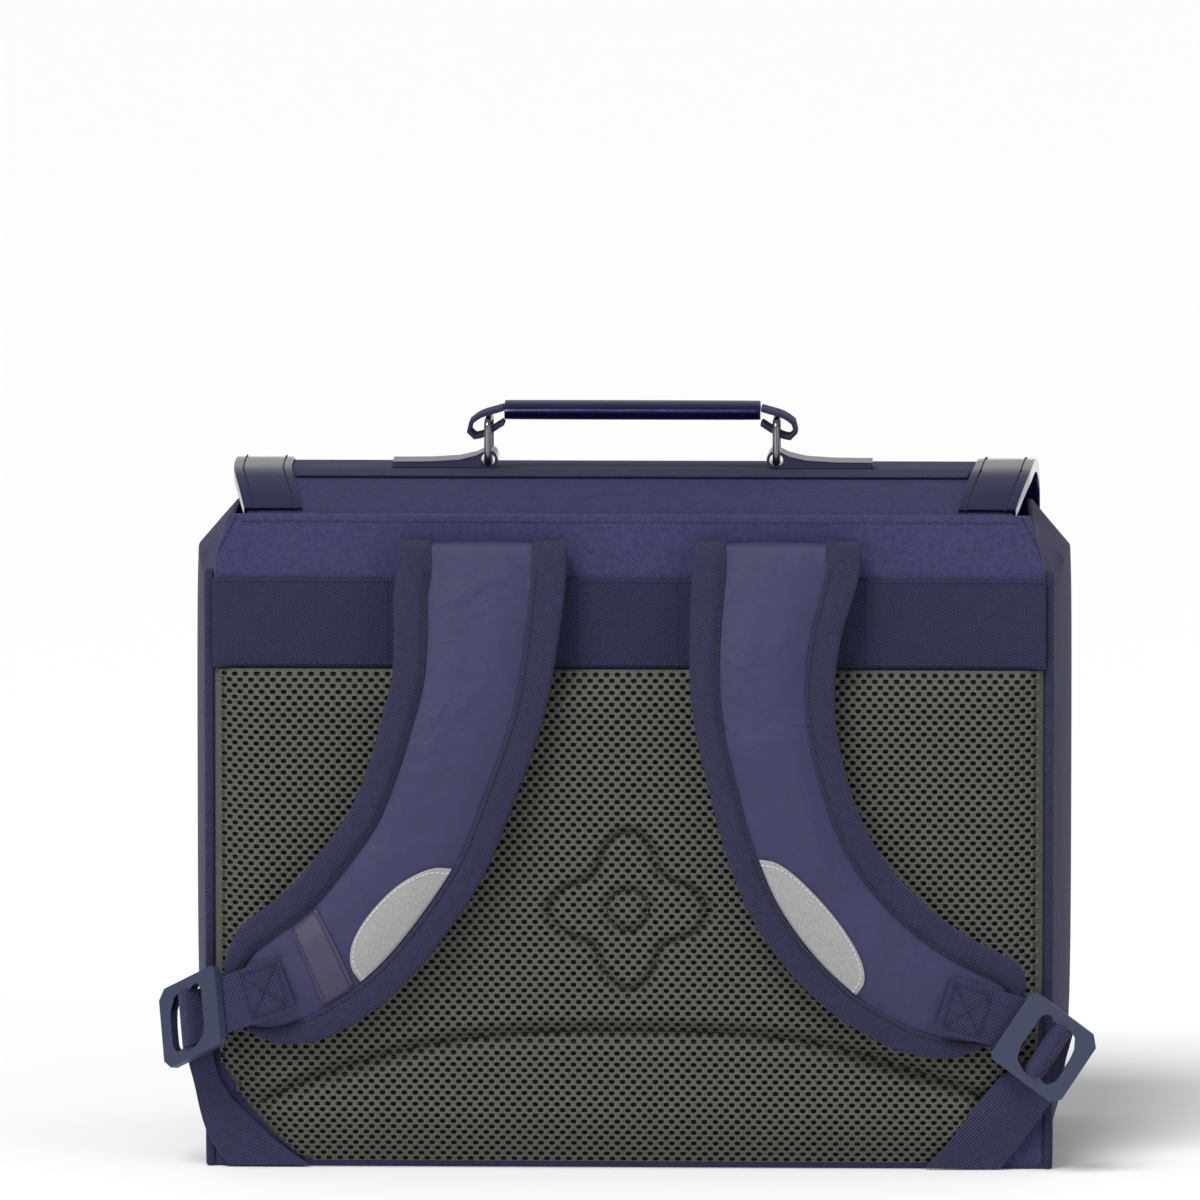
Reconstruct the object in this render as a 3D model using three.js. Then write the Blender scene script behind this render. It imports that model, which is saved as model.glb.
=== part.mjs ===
// A school ransel: a satchel worn on the back, with padded shoulder straps, a mesh back pad,
// a top flap with patent trims and a carrying handle. Millimetres, +Z up. The side that lies
// on the wearer's back faces -Y, and the bag stands on its bottom at Z = 0.
import * as THREE from 'three';
import { mergeVertices } from 'three/addons/utils/BufferGeometryUtils.js';

// Driving dimensions of the bag
const CLEARANCE = 0.3;          // running gap between two sewn layers
const BAG_DEPTH = 170;          // from the back face to the front face
const BACK_HALF_WIDTH = 181;    // half the width of the back, below the pinched top corners
const BACK_HEIGHT = 286;        // top seam of the back
const WALL = 2;                 // fabric over board
const TOP_PINCH = 7;            // how far each top corner is drawn in
const PINCH_START = 262;        // height where the pinch begins
const SIDE_BULGE = 13;          // how far a side gusset bellies out
const SIDE_TOP_BACK = 276;      // height of a side gusset at the back
const SIDE_TOP_CROWN = 286;     // and at its highest place
const SIDE_TOP_FRONT = 268;     // and at the front
const FRONT_HEIGHT = 264;
const BOTTOM_THICKNESS = 3;
const BINDING_WIDTH = 3.5;      // piping along the back edges
const BINDING_DEPTH = 7;

// Driving dimensions of the back
const YOKE_THICKNESS = 2;
const YOKE_BOTTOM = 219;
const BAND_THICKNESS = 1.8;
const BAND_HEIGHT = 38.5;
const PAD_THICKNESS = 12;
const PAD_EDGE = 1.5;
const PAD_ROUNDING = 24;        // over this distance the pad rises from its edge
const PAD_BOTTOM = 3;
const PAD_CORNER_WIDTH = 43;    // the lower corners are cut round
const PAD_CORNER_HEIGHT = 47;
const ARCH_HEIGHT = 61;         // crest of the arched seam
const ARCH_FALL = 32;           // its fall at the ends
const ARCH_HALF_WIDTH = 160;
const ARCH_GROOVE = 6.5;
const ARCH_GROOVE_HALF = 7;

// Driving dimensions of the straps
const STRAP_EDGE = 3.6;         // thickness under the binding
const STRAP_FOLD = 4.6;         // thickness at the folded top
const TWILL = 1;                // thickness of the binding tape
const REFLECTOR_THICKNESS = 0.6;
const PATCH_LIFT = 0.5;         // patches lie this far off the crowned strap
const WEBBING = 1.6;
const TAB_HALF_WIDTH = 12.5;

// Driving dimensions of the flap and its fittings
const FLAP_THICKNESS = 3;
const FLAP_END = 70;            // height of its lower edge
const TRIM_WIDTH = 24;
const TRIM_UNDER = 13;
const TRIM_THICKNESS = 1.2;
const CREST_THICKNESS = 1;
const FLAP_STANDOFF = 7;        // its middle hangs this far in front of the front face
const CLOSURE_WIDTH = 30;
const CLOSURE_X = 95;
const CLOSURE_TOP = 150;
const CLOSURE_BELOW = 22;       // a closing strap reaches this far below the flap
const CLASP = { width: 34, height: 24, below: 3 };

// Driving dimensions of the handle
const HANDLE_Y = 58;            // distance from the back face to the handle's centre line
const HANDLE_BASE = BACK_HEIGHT + 15;   // height that the handle tabs lie on
const RING = {
  x: 63, wire: 1.75, halfDepth: 15.5, corner: 3.5, bottom: HANDLE_BASE + 3.3, top: HANDLE_BASE + 21.4,
};
const GRIP = { half: 56, depth: 22, height: 8.8, middle: RING.top + 3.9 };
const TAB = { outer: 105, depth: 23.6, thick: 3.5, loop: 4.4, leather: 1.3, shoulder: 9 };
const TAB_LOOP_FROM = 50;       // degrees round the ring where the tab's fold begins
const TAB_LOOP_TURN = 220;
const GRIP_WEB = { width: 21, thick: 2 };

// Driving dimensions of the strap buckles
const BUCKLE = { length: 37, width: 35, cheek: 4, plate: 9.5, bar: 6.5, middle: 2.6, thick: 4 };
const TAB_RISE = 1.1;           // the tab arches over the strap's crowned end

const group = new THREE.Group();

function paint(color, roughness, metalness = 0) {
  return new THREE.MeshStandardMaterial({ color, roughness, metalness });
}

const NAVY = 0x36386a;
const FINISH = {
  fabric: () => paint(NAVY, 0.85),
  binding: () => paint(0x2a2e5c, 0.8),
  webbing: () => paint(0x2d2f63, 0.9),
  mesh: () => paint(0x5d5e57, 0.9),
  patent: () => paint(0x1c1d50, 0.15),
  reflector: () => paint(0xa5a5a5, 0.5),
  label: () => paint(0x4a4868, 0.3),
  plastic: () => paint(0x37425a, 0.45),
  metal: () => paint(0x3a3d44, 0.3, 1),
};

function addPiece(name, geometry, material) {
  const piece = new THREE.Mesh(geometry, material);
  piece.name = name;
  group.add(piece);
  return piece;
}

// A closed geometry from corner points and triangles, turned to face outwards
function closedGeometry(points, triangles) {
  let volume = 0;
  const cross = new THREE.Vector3();
  for (const [a, b, c] of triangles) {
    volume += points[a].dot(cross.crossVectors(points[b], points[c])) / 6;
  }
  const positions = [];
  for (const [a, b, c] of triangles) {
    const corners = volume > 0 ? [a, b, c] : [a, c, b];
    for (const corner of corners) positions.push(...points[corner].toArray());
  }
  const geometry = new THREE.BufferGeometry();
  geometry.setAttribute('position', new THREE.Float32BufferAttribute(positions, 3));
  const merged = mergeVertices(geometry, 1e-4);
  merged.computeVertexNormals();
  return merged;
}

// A wall: each row holds as many points on its outer face as on its inner face
function wall(rows) {
  const count = rows[0].outer.length;
  const points = rows.flatMap((row) => [...row.outer, ...row.inner]);
  const triangles = [];
  const quad = (a, b, c, d) => triangles.push([a, b, c], [a, c, d]);
  const outer = (row, i) => row * 2 * count + i;
  const inner = (row, i) => row * 2 * count + count + i;
  const last = rows.length - 1;
  for (let row = 0; row < last; row += 1) {
    for (let i = 0; i < count - 1; i += 1) {
      quad(outer(row, i), outer(row, i + 1), outer(row + 1, i + 1), outer(row + 1, i));
      quad(inner(row, i), inner(row + 1, i), inner(row + 1, i + 1), inner(row, i + 1));
    }
    quad(outer(row, 0), outer(row + 1, 0), inner(row + 1, 0), inner(row, 0));
    const end = count - 1;
    quad(outer(row, end), inner(row, end), inner(row + 1, end), outer(row + 1, end));
  }
  for (let i = 0; i < count - 1; i += 1) {
    quad(outer(0, i), inner(0, i), inner(0, i + 1), outer(0, i + 1));
    quad(outer(last, i), outer(last, i + 1), inner(last, i + 1), inner(last, i));
  }
  return closedGeometry(points, triangles);
}

// A round wire along a closed path of points
function closedWire(path, axis, radius, sides) {
  const points = [];
  const triangles = [];
  const count = path.length;
  path.forEach((point, k) => {
    const before = path[(k + count - 1) % count];
    const after = path[(k + 1) % count];
    const across = after.clone().sub(before).cross(axis).normalize();
    for (let side = 0; side < sides; side += 1) {
      const angle = (2 * Math.PI * side) / sides;
      const reach = across.clone().multiplyScalar(radius * Math.cos(angle));
      points.push(point.clone().add(reach).addScaledVector(axis, radius * Math.sin(angle)));
    }
  });
  for (let k = 0; k < count; k += 1) {
    for (let side = 0; side < sides; side += 1) {
      const next = (side + 1) % sides;
      const here = k * sides;
      const there = ((k + 1) % count) * sides;
      triangles.push([here + side, there + side, there + next]);
      triangles.push([here + side, there + next, here + next]);
    }
  }
  return closedGeometry(points, triangles);
}

const range = (count) => Array.from({ length: count + 1 }, (_, i) => i / count);
const clamp01 = (value) => Math.min(1, Math.max(0, value));
const backY = (layer) => -BAG_DEPTH / 2 - layer;
const depthY = (fromBack) => -BAG_DEPTH / 2 + fromBack;
const spot = (x, layer, z) => new THREE.Vector3(x, backY(layer), z);

// Half the width of the back at a height, drawn in at the top corners
function backHalf(z) {
  return BACK_HALF_WIDTH - TOP_PINCH * clamp01((z - PINCH_START) / (BACK_HEIGHT - PINCH_START));
}

// A flat layer on the back between two heights and two distances off the back face
function backLayer(heights, near, far, halfAt) {
  return wall(heights.map((z) => ({
    outer: range(4).map((u) => spot((2 * u - 1) * halfAt(z), far, z)),
    inner: range(4).map((u) => spot((2 * u - 1) * halfAt(z), near, z)),
  })));
}

function backPanel() {
  return backLayer([CLEARANCE, YOKE_BOTTOM, PINCH_START, BACK_HEIGHT], -WALL, 0, backHalf);
}

const YOKE_FACE = CLEARANCE + YOKE_THICKNESS;
const BAND_FACE = YOKE_FACE + CLEARANCE + BAND_THICKNESS;

function backYoke() {
  const heights = [YOKE_BOTTOM, PINCH_START, (PINCH_START + BACK_HEIGHT) / 2, BACK_HEIGHT];
  return backLayer(heights, CLEARANCE, YOKE_FACE, backHalf);
}

function backBand() {
  const bottom = YOKE_BOTTOM + 1;
  const heights = [bottom, bottom + BAND_HEIGHT];
  return backLayer(heights, YOKE_FACE + CLEARANCE, BAND_FACE, () => BACK_HALF_WIDTH);
}

const archAt = (x) => ARCH_HEIGHT - ARCH_FALL * (Math.abs(x) / ARCH_HALF_WIDTH) ** 2.6;

function padHalf(z) {
  const rise = clamp01((z - PAD_BOTTOM) / PAD_CORNER_HEIGHT) ** 0.6;
  return BACK_HALF_WIDTH - 1 - PAD_CORNER_WIDTH * (1 - rise);
}

// How far the mesh pad stands off the back face
function padFace(x, z) {
  const top = YOKE_BOTTOM - CLEARANCE;
  const toSide = Math.max(0, padHalf(z) - Math.abs(x));
  const toEnd = Math.min(Math.max(0, z - PAD_BOTTOM), Math.max(0, top - z) + 6);
  const rise = Math.sin((Math.PI / 2) * clamp01(Math.min(toSide, toEnd) / PAD_ROUNDING));
  const groove = ARCH_GROOVE * clamp01(1 - Math.abs(z - archAt(x)) / ARCH_GROOVE_HALF) * rise;
  return CLEARANCE + PAD_EDGE + (PAD_THICKNESS - PAD_EDGE) * rise - groove;
}

// The padded mesh: a rounded cushion with an arched seam across its lower part
function backPad() {
  const top = YOKE_BOTTOM - CLEARANCE;
  const levels = [
    { below: 0, above: 0 }, { below: 0.1, above: 0 }, { below: 0.3, above: 0 },
    { below: 0.6, above: 0 }, { groove: -1 }, { groove: 0 }, { groove: 1 },
    { above: 0.08 }, { above: 0.28 }, { above: 0.52 }, { above: 0.76 },
    { above: 0.9 }, { above: 0.96 }, { above: 1 },
  ];
  const columns = [-1, -0.985, -0.95, -0.9, -0.8, -0.62, -0.42, -0.2, 0,
    0.2, 0.42, 0.62, 0.8, 0.9, 0.95, 0.985, 1];
  const heightAt = (level, x) => {
    const low = Math.max(PAD_BOTTOM + 12, archAt(x) - ARCH_GROOVE_HALF);
    const high = low + 2 * ARCH_GROOVE_HALF;
    if (level.groove !== undefined) return low + (level.groove + 1) * ARCH_GROOVE_HALF;
    if (level.above > 0) return high + (top - high) * level.above;
    return PAD_BOTTOM + (low - PAD_BOTTOM) * level.below;
  };
  return wall(levels.map((level) => {
    const row = { outer: [], inner: [] };
    for (const u of columns) {
      const z = heightAt(level, u * BACK_HALF_WIDTH);
      const x = u * padHalf(z);
      row.outer.push(spot(x, padFace(x, z), z));
      row.inner.push(spot(x, CLEARANCE, z));
    }
    return row;
  }));
}

// A side gusset bellies out between its back and front edges and is drawn in at the top
function sideGusset(side) {
  const backEdge = WALL + CLEARANCE;
  const frontEdge = BAG_DEPTH - WALL - CLEARANCE;
  const flatHem = 6;
  return wall([0, 0.05, 0.12, 0.5, 0.85, 0.93, 1].map((v) => {
    const row = { outer: [], inner: [] };
    for (const u of [0, 0.04, 0.12, 0.25, 0.5, 0.75, 0.88, 0.96, 1]) {
      const fromBack = backEdge + (frontEdge - backEdge) * u;
      const arch = Math.sin(Math.PI * u);
      const rise = u < 0.5
        ? SIDE_TOP_BACK + (SIDE_TOP_CROWN - SIDE_TOP_BACK) * arch
        : SIDE_TOP_FRONT + (SIDE_TOP_CROWN - SIDE_TOP_FRONT) * arch;
      const z = CLEARANCE + (rise - CLEARANCE) * v;
      const belly = Math.sin(Math.PI * clamp01((fromBack - backEdge - flatHem)
        / (frontEdge - backEdge - flatHem * 2)));
      const fullness = clamp01(v / 0.12) * (1 - clamp01((v - 0.93) / 0.07));
      const x = backHalf(z) + SIDE_BULGE * belly * fullness;
      row.outer.push(new THREE.Vector3(side * x, depthY(fromBack), z));
      row.inner.push(new THREE.Vector3(side * (x - WALL), depthY(fromBack), z));
    }
    return row;
  }));
}

// The piping that closes the seam between the back and a side gusset
function sideBinding(side) {
  const near = BACK_HALF_WIDTH + CLEARANCE;
  return wall([CLEARANCE, PINCH_START - 40, PINCH_START].map((z) => ({
    outer: [0, 1].map((u) => spot(side * (near + BINDING_WIDTH * u), WALL - 0.5, z)),
    inner: [0, 1].map((u) => spot(side * (near + BINDING_WIDTH * u), WALL - BINDING_DEPTH, z)),
  })));
}

function box(width, depth, height, x, y, z) {
  const geometry = new THREE.BoxGeometry(width, depth, height);
  geometry.translate(x, y, z);
  return geometry;
}

function bottomPanel() {
  const width = 2 * (BACK_HALF_WIDTH - WALL - CLEARANCE);
  const depth = BAG_DEPTH - 2 * (WALL + CLEARANCE);
  return box(width, depth, BOTTOM_THICKNESS, 0, 0, BOTTOM_THICKNESS / 2);
}

function frontPanel() {
  const height = FRONT_HEIGHT - CLEARANCE;
  const y = depthY(BAG_DEPTH - WALL / 2);
  return box(2 * BACK_HALF_WIDTH, WALL, height, 0, y, CLEARANCE + height / 2);
}

// The flap's middle line from the back seam over the crest and down the front
// Each row is a share of the flap's depth, a height and an inset from the back's half width.
const FLAP_DEPTH = BAG_DEPTH + FLAP_STANDOFF;
const FLAP_LINE = [
  { share: 4 / 177, z: BACK_HEIGHT - 6, inset: 15 },
  { share: 9 / 177, z: BACK_HEIGHT - 0.5, inset: 14.7 },
  { share: 20 / 177, z: BACK_HEIGHT + 5, inset: 12.5 },
  { share: 35 / 177, z: BACK_HEIGHT + 11, inset: 9.5 },
  { share: 45 / 177, z: BACK_HEIGHT + 13.1, inset: 8 },
  { share: 75 / 177, z: BACK_HEIGHT + 13.1, inset: 7 },
  { share: 110 / 177, z: BACK_HEIGHT + 12, inset: 6 },
  { share: 140 / 177, z: BACK_HEIGHT + 8.5, inset: 5 },
  { share: 157 / 177, z: BACK_HEIGHT + 4, inset: 4.5 },
  { share: 168 / 177, z: BACK_HEIGHT - 3, inset: 4 },
  { share: 174 / 177, z: BACK_HEIGHT - 13, inset: 4 },
  { share: 175.5 / 177, z: BACK_HEIGHT - 28, inset: 4 },
  { share: 176.5 / 177, z: BACK_HEIGHT - 86, inset: 4 },
  { share: 1, z: BACK_HEIGHT - 156, inset: 4 },
  { share: 1, z: FLAP_END + 22, inset: 7 },
  { share: 1, z: FLAP_END + 8, inset: 16 },
  { share: 1, z: FLAP_END, inset: 31 },
].map(({ share, z, inset }) => ({
  fromBack: share * FLAP_DEPTH, z, half: BACK_HALF_WIDTH - inset,
}));

// Middle point and outward normal of the flap at a row of its line
const flapFrames = FLAP_LINE.map((row, k) => {
  const before = FLAP_LINE[Math.max(0, k - 1)];
  const after = FLAP_LINE[Math.min(FLAP_LINE.length - 1, k + 1)];
  const run = after.fromBack - before.fromBack;
  const climb = after.z - before.z;
  const length = Math.hypot(run, climb);
  return { ...row, ny: -climb / length, nz: run / length };
});

function flapPoint(frame, x, lift) {
  const y = depthY(frame.fromBack) + frame.ny * lift;
  return new THREE.Vector3(x, y, frame.z + frame.nz * lift);
}

function flap() {
  return wall(flapFrames.map((frame) => ({
    outer: range(4).map((u) => flapPoint(frame, (2 * u - 1) * frame.half, FLAP_THICKNESS / 2)),
    inner: range(4).map((u) => flapPoint(frame, (2 * u - 1) * frame.half, -FLAP_THICKNESS / 2)),
  })));
}

// A patent strip folded round one side edge of the flap
function flapTrim(side) {
  const under = FLAP_THICKNESS / 2 + CLEARANCE;
  const over = under + TRIM_THICKNESS;
  const frames = flapFrames.slice(1, -3);
  return wall(frames.map((frame) => {
    const at = (inset, lift) => flapPoint(frame, side * (frame.half - inset), lift);
    const edge = -CLEARANCE;
    return {
      outer: [at(TRIM_WIDTH, over), at(edge - TRIM_THICKNESS, over),
        at(edge - TRIM_THICKNESS, -over), at(TRIM_UNDER, -over)],
      inner: [at(TRIM_WIDTH, under), at(edge, under), at(edge, -under), at(TRIM_UNDER, -under)],
    };
  }));
}

// The band of fabric across the crest of the flap, between the trims and behind the handle tabs
function crestStrip() {
  const under = FLAP_THICKNESS / 2 + CLEARANCE;
  const frames = flapFrames.slice(3, 5);
  return wall(frames.map((frame) => {
    const half = frame.half - TRIM_WIDTH - 1;
    return {
      outer: range(4).map((u) => flapPoint(frame, (2 * u - 1) * half, under + CREST_THICKNESS)),
      inner: range(4).map((u) => flapPoint(frame, (2 * u - 1) * half, under)),
    };
  }));
}

// A closing strap lies on the front of the flap and reaches down to its clasp
function closureStrap(side) {
  const near = FLAP_THICKNESS / 2 + CLEARANCE;
  const y = depthY(FLAP_DEPTH) + near + TRIM_THICKNESS / 2;
  const low = FLAP_END - CLOSURE_BELOW;
  const height = CLOSURE_TOP - low;
  return box(CLOSURE_WIDTH, TRIM_THICKNESS, height, side * CLOSURE_X, y, low + height / 2);
}

// The clasp under each closing strap is a plain block on the front panel
function closureClasp(side) {
  const strapBack = FLAP_DEPTH + FLAP_THICKNESS / 2 + CLEARANCE;
  const depth = strapBack - CLEARANCE - BAG_DEPTH - CLEARANCE;
  const y = depthY(BAG_DEPTH + CLEARANCE + depth / 2);
  const z = FLAP_END - CLASP.height / 2 - CLASP.below;
  return box(CLASP.width, depth, CLASP.height, side * CLOSURE_X, y, z);
}

// A leather tab folded round the ring's lower bar and lying on the crest
function handleTab(side) {
  const loopZ = HANDLE_BASE + TAB.loop;
  const shape = new THREE.Shape();
  shape.moveTo(TAB.outer, HANDLE_BASE);
  shape.lineTo(TAB.outer, HANDLE_BASE + TAB.thick);
  shape.lineTo(RING.x + TAB.shoulder, HANDLE_BASE + TAB.thick);
  for (let step = 1; step <= 9; step += 1) {
    const angle = THREE.MathUtils.degToRad(TAB_LOOP_FROM + TAB_LOOP_TURN * (step / 9));
    shape.lineTo(RING.x + TAB.loop * Math.cos(angle), loopZ + TAB.loop * Math.sin(angle));
  }
  shape.closePath();
  const hole = new THREE.Path();
  hole.absarc(RING.x, loopZ, TAB.loop - TAB.leather, 0, 2 * Math.PI, true);
  shape.holes.push(hole);
  return extrudedAlongY(shape, TAB.depth, HANDLE_Y, side, 6);
}

// An outline in the XZ plane, extruded along Y about a centre line, mirrored for the left side
function extrudedAlongY(shape, depth, fromBack, side, curveSegments) {
  const geometry = new THREE.ExtrudeGeometry(shape, { depth, bevelEnabled: false, curveSegments });
  const source = geometry.index ? geometry.toNonIndexed() : geometry;
  const position = source.attributes.position;
  const points = [];
  const triangles = [];
  for (let i = 0; i < position.count; i += 1) {
    const y = depthY(fromBack) + position.getZ(i) - depth / 2;
    points.push(new THREE.Vector3(side * position.getX(i), y, position.getY(i)));
    if (i % 3 === 2) triangles.push([i - 2, i - 1, i]);
  }
  return closedGeometry(points, triangles);
}

// A rectangular wire ring with rounded corners, standing across the handle's line
function handleRing(side) {
  const path = [];
  const middle = (RING.bottom + RING.top) / 2;
  const halfHeight = (RING.top - RING.bottom) / 2;
  for (const [sy, sz, start] of [[1, 1, 0], [-1, 1, 90], [-1, -1, 180], [1, -1, 270]]) {
    for (let step = 0; step <= 3; step += 1) {
      const angle = THREE.MathUtils.degToRad(start + 30 * step);
      const y = sy * (RING.halfDepth - RING.corner) + RING.corner * Math.cos(angle);
      const z = sz * (halfHeight - RING.corner) + RING.corner * Math.sin(angle);
      path.push(new THREE.Vector3(side * RING.x, depthY(HANDLE_Y) + y, middle + z));
    }
  }
  return closedWire(path, new THREE.Vector3(1, 0, 0), RING.wire, 8);
}

// The grip's webbing leaves its end, goes over the ring's top bar and comes back below it
function handleWeb(side) {
  const start = GRIP.half + CLEARANCE;
  const over = RING.top + RING.wire + CLEARANCE + GRIP_WEB.thick / 2;
  const line = [
    { x: start, z: over + 2 }, { x: RING.x - 2, z: over + 0.6 }, { x: RING.x + 3.5, z: over - 0.8 },
    { x: RING.x + 7.5, z: RING.top - 1 }, { x: RING.x + 8.5, z: RING.top - 5 },
    { x: RING.x + 6, z: RING.top - 7.5 }, { x: RING.x + 2, z: RING.top - 6.8 },
    { x: RING.x - 3, z: RING.top - 3.6 }, { x: start, z: RING.top - 1.2 },
  ];
  const half = GRIP_WEB.width / 2;
  return wall(line.map((point, k) => {
    const before = line[Math.max(0, k - 1)];
    const after = line[Math.min(line.length - 1, k + 1)];
    const length = Math.hypot(after.x - before.x, after.z - before.z);
    const nx = -(after.z - before.z) / length;
    const nz = (after.x - before.x) / length;
    const at = (y, lift) => new THREE.Vector3(side * (point.x + nx * lift),
      depthY(HANDLE_Y) + y, point.z + nz * lift);
    return {
      outer: [at(-half, GRIP_WEB.thick / 2), at(half, GRIP_WEB.thick / 2)],
      inner: [at(-half, -GRIP_WEB.thick / 2), at(half, -GRIP_WEB.thick / 2)],
    };
  }));
}

// The grip is leather over a padded core, with a rounded section
function handleGrip() {
  const section = new THREE.Shape();
  section.absellipse(0, 0, GRIP.depth / 2, GRIP.height / 2, 0, 2 * Math.PI);
  const geometry = new THREE.ExtrudeGeometry(section, {
    depth: 2 * GRIP.half, bevelEnabled: false, curveSegments: 7,
  });
  geometry.rotateY(Math.PI / 2);
  geometry.rotateX(Math.PI / 2);
  geometry.translate(-GRIP.half, depthY(HANDLE_Y), GRIP.middle);
  return geometry;
}

// Each strap is sewn under the band, folds forward at its top and sweeps out to the lower corner.
// A row holds its outer and inner edge, the distance of its middle from the back face and its
// thickness in the middle.
const STRAP_TOP = [
  { layer: 5.9, z: 262, thick: STRAP_FOLD }, { layer: 6.1, z: 267, thick: STRAP_FOLD },
  { layer: 7.9, z: 271, thick: STRAP_FOLD }, { layer: 11, z: 272.8, thick: STRAP_FOLD },
  { layer: 13.8, z: 270.6, thick: STRAP_FOLD },
];
const STRAP_LEFT = [
  { xo: 99, zo: 262, xi: 28, zi: 262, layer: 15.3, thick: 7 },
  { xo: 100.5, zo: 251, xi: 29, zi: 250, layer: 17.2, thick: 8.5 },
  { xo: 100, zo: 234, xi: 31.5, zi: 232, layer: 20, thick: 9.5 },
  { xo: 101, zo: 216, xi: 35, zi: 210, layer: 22.5, thick: 9.5 },
  { xo: 105, zo: 200, xi: 41, zi: 188, layer: 24, thick: 9.5 },
  { xo: 110.5, zo: 180.5, xi: 50, zi: 164, layer: 25, thick: 9.5 },
  { xo: 119, zo: 159, xi: 62, zi: 134, layer: 25, thick: 9.5 },
  { xo: 131, zo: 142, xi: 76, zi: 111, layer: 24, thick: 9.5 },
  { xo: 143, zo: 127, xi: 93, zi: 89, layer: 22.5, thick: 9.5 },
  { xo: 152, zo: 119, xi: 108, zi: 74.5, layer: 21, thick: 9.5 },
  { xo: 161, zo: 112, xi: 121, zi: 65.5, layer: 19.4, thick: 9 },
  { xo: 168.5, zo: 105, xi: 134.5, zi: 59, layer: 17.8, thick: 8 },
  { xo: 174, zo: 93, xi: 147, zi: 57, layer: 16.6, thick: 7 },
  { xo: 174.5, zo: 83, xi: 157, zi: 58.5, layer: 15.9, thick: 6.4 },
  { xo: 173, zo: 74, xi: 165, zi: 62, layer: 15.8, thick: 6 },
];
const STRAP_RIGHT = [
  { xo: 99, zo: 262, xi: 29, zi: 262, layer: 15.3, thick: 7 },
  { xo: 96, zo: 251, xi: 28.5, zi: 252, layer: 17.2, thick: 8.5 },
  { xo: 91, zo: 234, xi: 28, zi: 234, layer: 20, thick: 9.5 },
  { xo: 88.5, zo: 214, xi: 28.5, zi: 211, layer: 22.5, thick: 9.5 },
  { xo: 89.5, zo: 194, xi: 31.5, zi: 190, layer: 24, thick: 9.5 },
  { xo: 94, zo: 173.5, xi: 37, zi: 167, layer: 25, thick: 9.5 },
  { xo: 101, zo: 154, xi: 44, zi: 141, layer: 25, thick: 9.5 },
  { xo: 110, zo: 138, xi: 54, zi: 115, layer: 24, thick: 9.5 },
  { xo: 121, zo: 125, xi: 70, zi: 91, layer: 22.5, thick: 9.5 },
  { xo: 135, zo: 112, xi: 88, zi: 73, layer: 21, thick: 9.5 },
  { xo: 148, zo: 103, xi: 104, zi: 62.5, layer: 19.6, thick: 9.2 },
  { xo: 160, zo: 96.5, xi: 118, zi: 55.5, layer: 18, thick: 8.5 },
  { xo: 169, zo: 91, xi: 132, zi: 52.2, layer: 16.8, thick: 7.5 },
  { xo: 172, zo: 82, xi: 144, zi: 52.5, layer: 16, thick: 6.6 },
  { xo: 169, zo: 72, xi: 154, zi: 56, layer: 15.8, thick: 6 },
];

const STRAP_SHARES = [-1, -0.6, -0.46, -0.16, 0.16, 0.46, 0.6, 1];

// Places of the patches, counted in rows along a strap with its folded top
const REFLECTORS = {
  left: { start: 11.2, end: 13.9, deep: 0.58 },
  right: { start: 11.2, end: 14.1, deep: 0.58 },
};
const LABEL = { outerEnd: 13.2, innerEnd: 14.1, wide: 1.1 };

// Frames along a strap: its two edges, the outward normal and the thickness in the middle
function strapFrames(table, side) {
  const head = STRAP_TOP.map((row) => ({
    xo: table[0].xo, xi: table[0].xi, zo: row.z, zi: row.z, layer: row.layer, thick: row.thick,
  }));
  const rows = [...head, ...table];
  const edges = rows.map((row) => ({
    outerEdge: spot(side * row.xo, row.layer, row.zo),
    innerEdge: spot(side * row.xi, row.layer, row.zi),
    thick: row.thick,
  }));
  return edges.map((edge, k) => {
    const before = edges[Math.max(0, k - 1)];
    const after = edges[Math.min(edges.length - 1, k + 1)];
    const along = after.outerEdge.clone().add(after.innerEdge)
      .sub(before.outerEdge).sub(before.innerEdge);
    const across = edge.outerEdge.clone().sub(edge.innerEdge);
    const normal = along.cross(across).normalize().multiplyScalar(side);
    return { ...edge, normal };
  });
}

// Half the strap's thickness at a share of its half width: flat edges and a crowned middle
function strapHalfThickness(frame, share) {
  const edge = STRAP_EDGE / 2;
  const crown = Math.max(0, frame.thick / 2 - edge);
  const inward = clamp01((0.6 - Math.abs(share)) / 0.44);
  return edge + crown * Math.sin((Math.PI / 2) * inward);
}

// A point over a strap: share -1 is the inner edge, 1 the outer edge
function strapPoint(frame, share, lift) {
  const middle = frame.innerEdge.clone().lerp(frame.outerEdge, (share + 1) / 2);
  return middle.addScaledVector(frame.normal, lift);
}

function strap(frames) {
  return wall(frames.map((frame) => ({
    outer: STRAP_SHARES.map((u) => strapPoint(frame, u, strapHalfThickness(frame, u))),
    inner: STRAP_SHARES.map((u) => strapPoint(frame, u, -strapHalfThickness(frame, u))),
  })));
}

// Twill tape folded round one edge of a strap
function strapBinding(frames, edge) {
  const under = STRAP_EDGE / 2 + CLEARANCE;
  const over = under + TWILL;
  return wall(frames.map((frame) => {
    const width = frame.outerEdge.distanceTo(frame.innerEdge);
    const share = (distance) => edge * (1 + (2 * distance) / width);
    const inset = edge * 0.63;
    const at = (u, lift) => strapPoint(frame, u, lift);
    return {
      outer: [at(inset, over), at(share(CLEARANCE + TWILL), over),
        at(share(CLEARANCE + TWILL), -over), at(inset, -over)],
      inner: [at(inset, under), at(share(CLEARANCE), under),
        at(share(CLEARANCE), -under), at(inset, -under)],
    };
  }));
}

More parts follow.
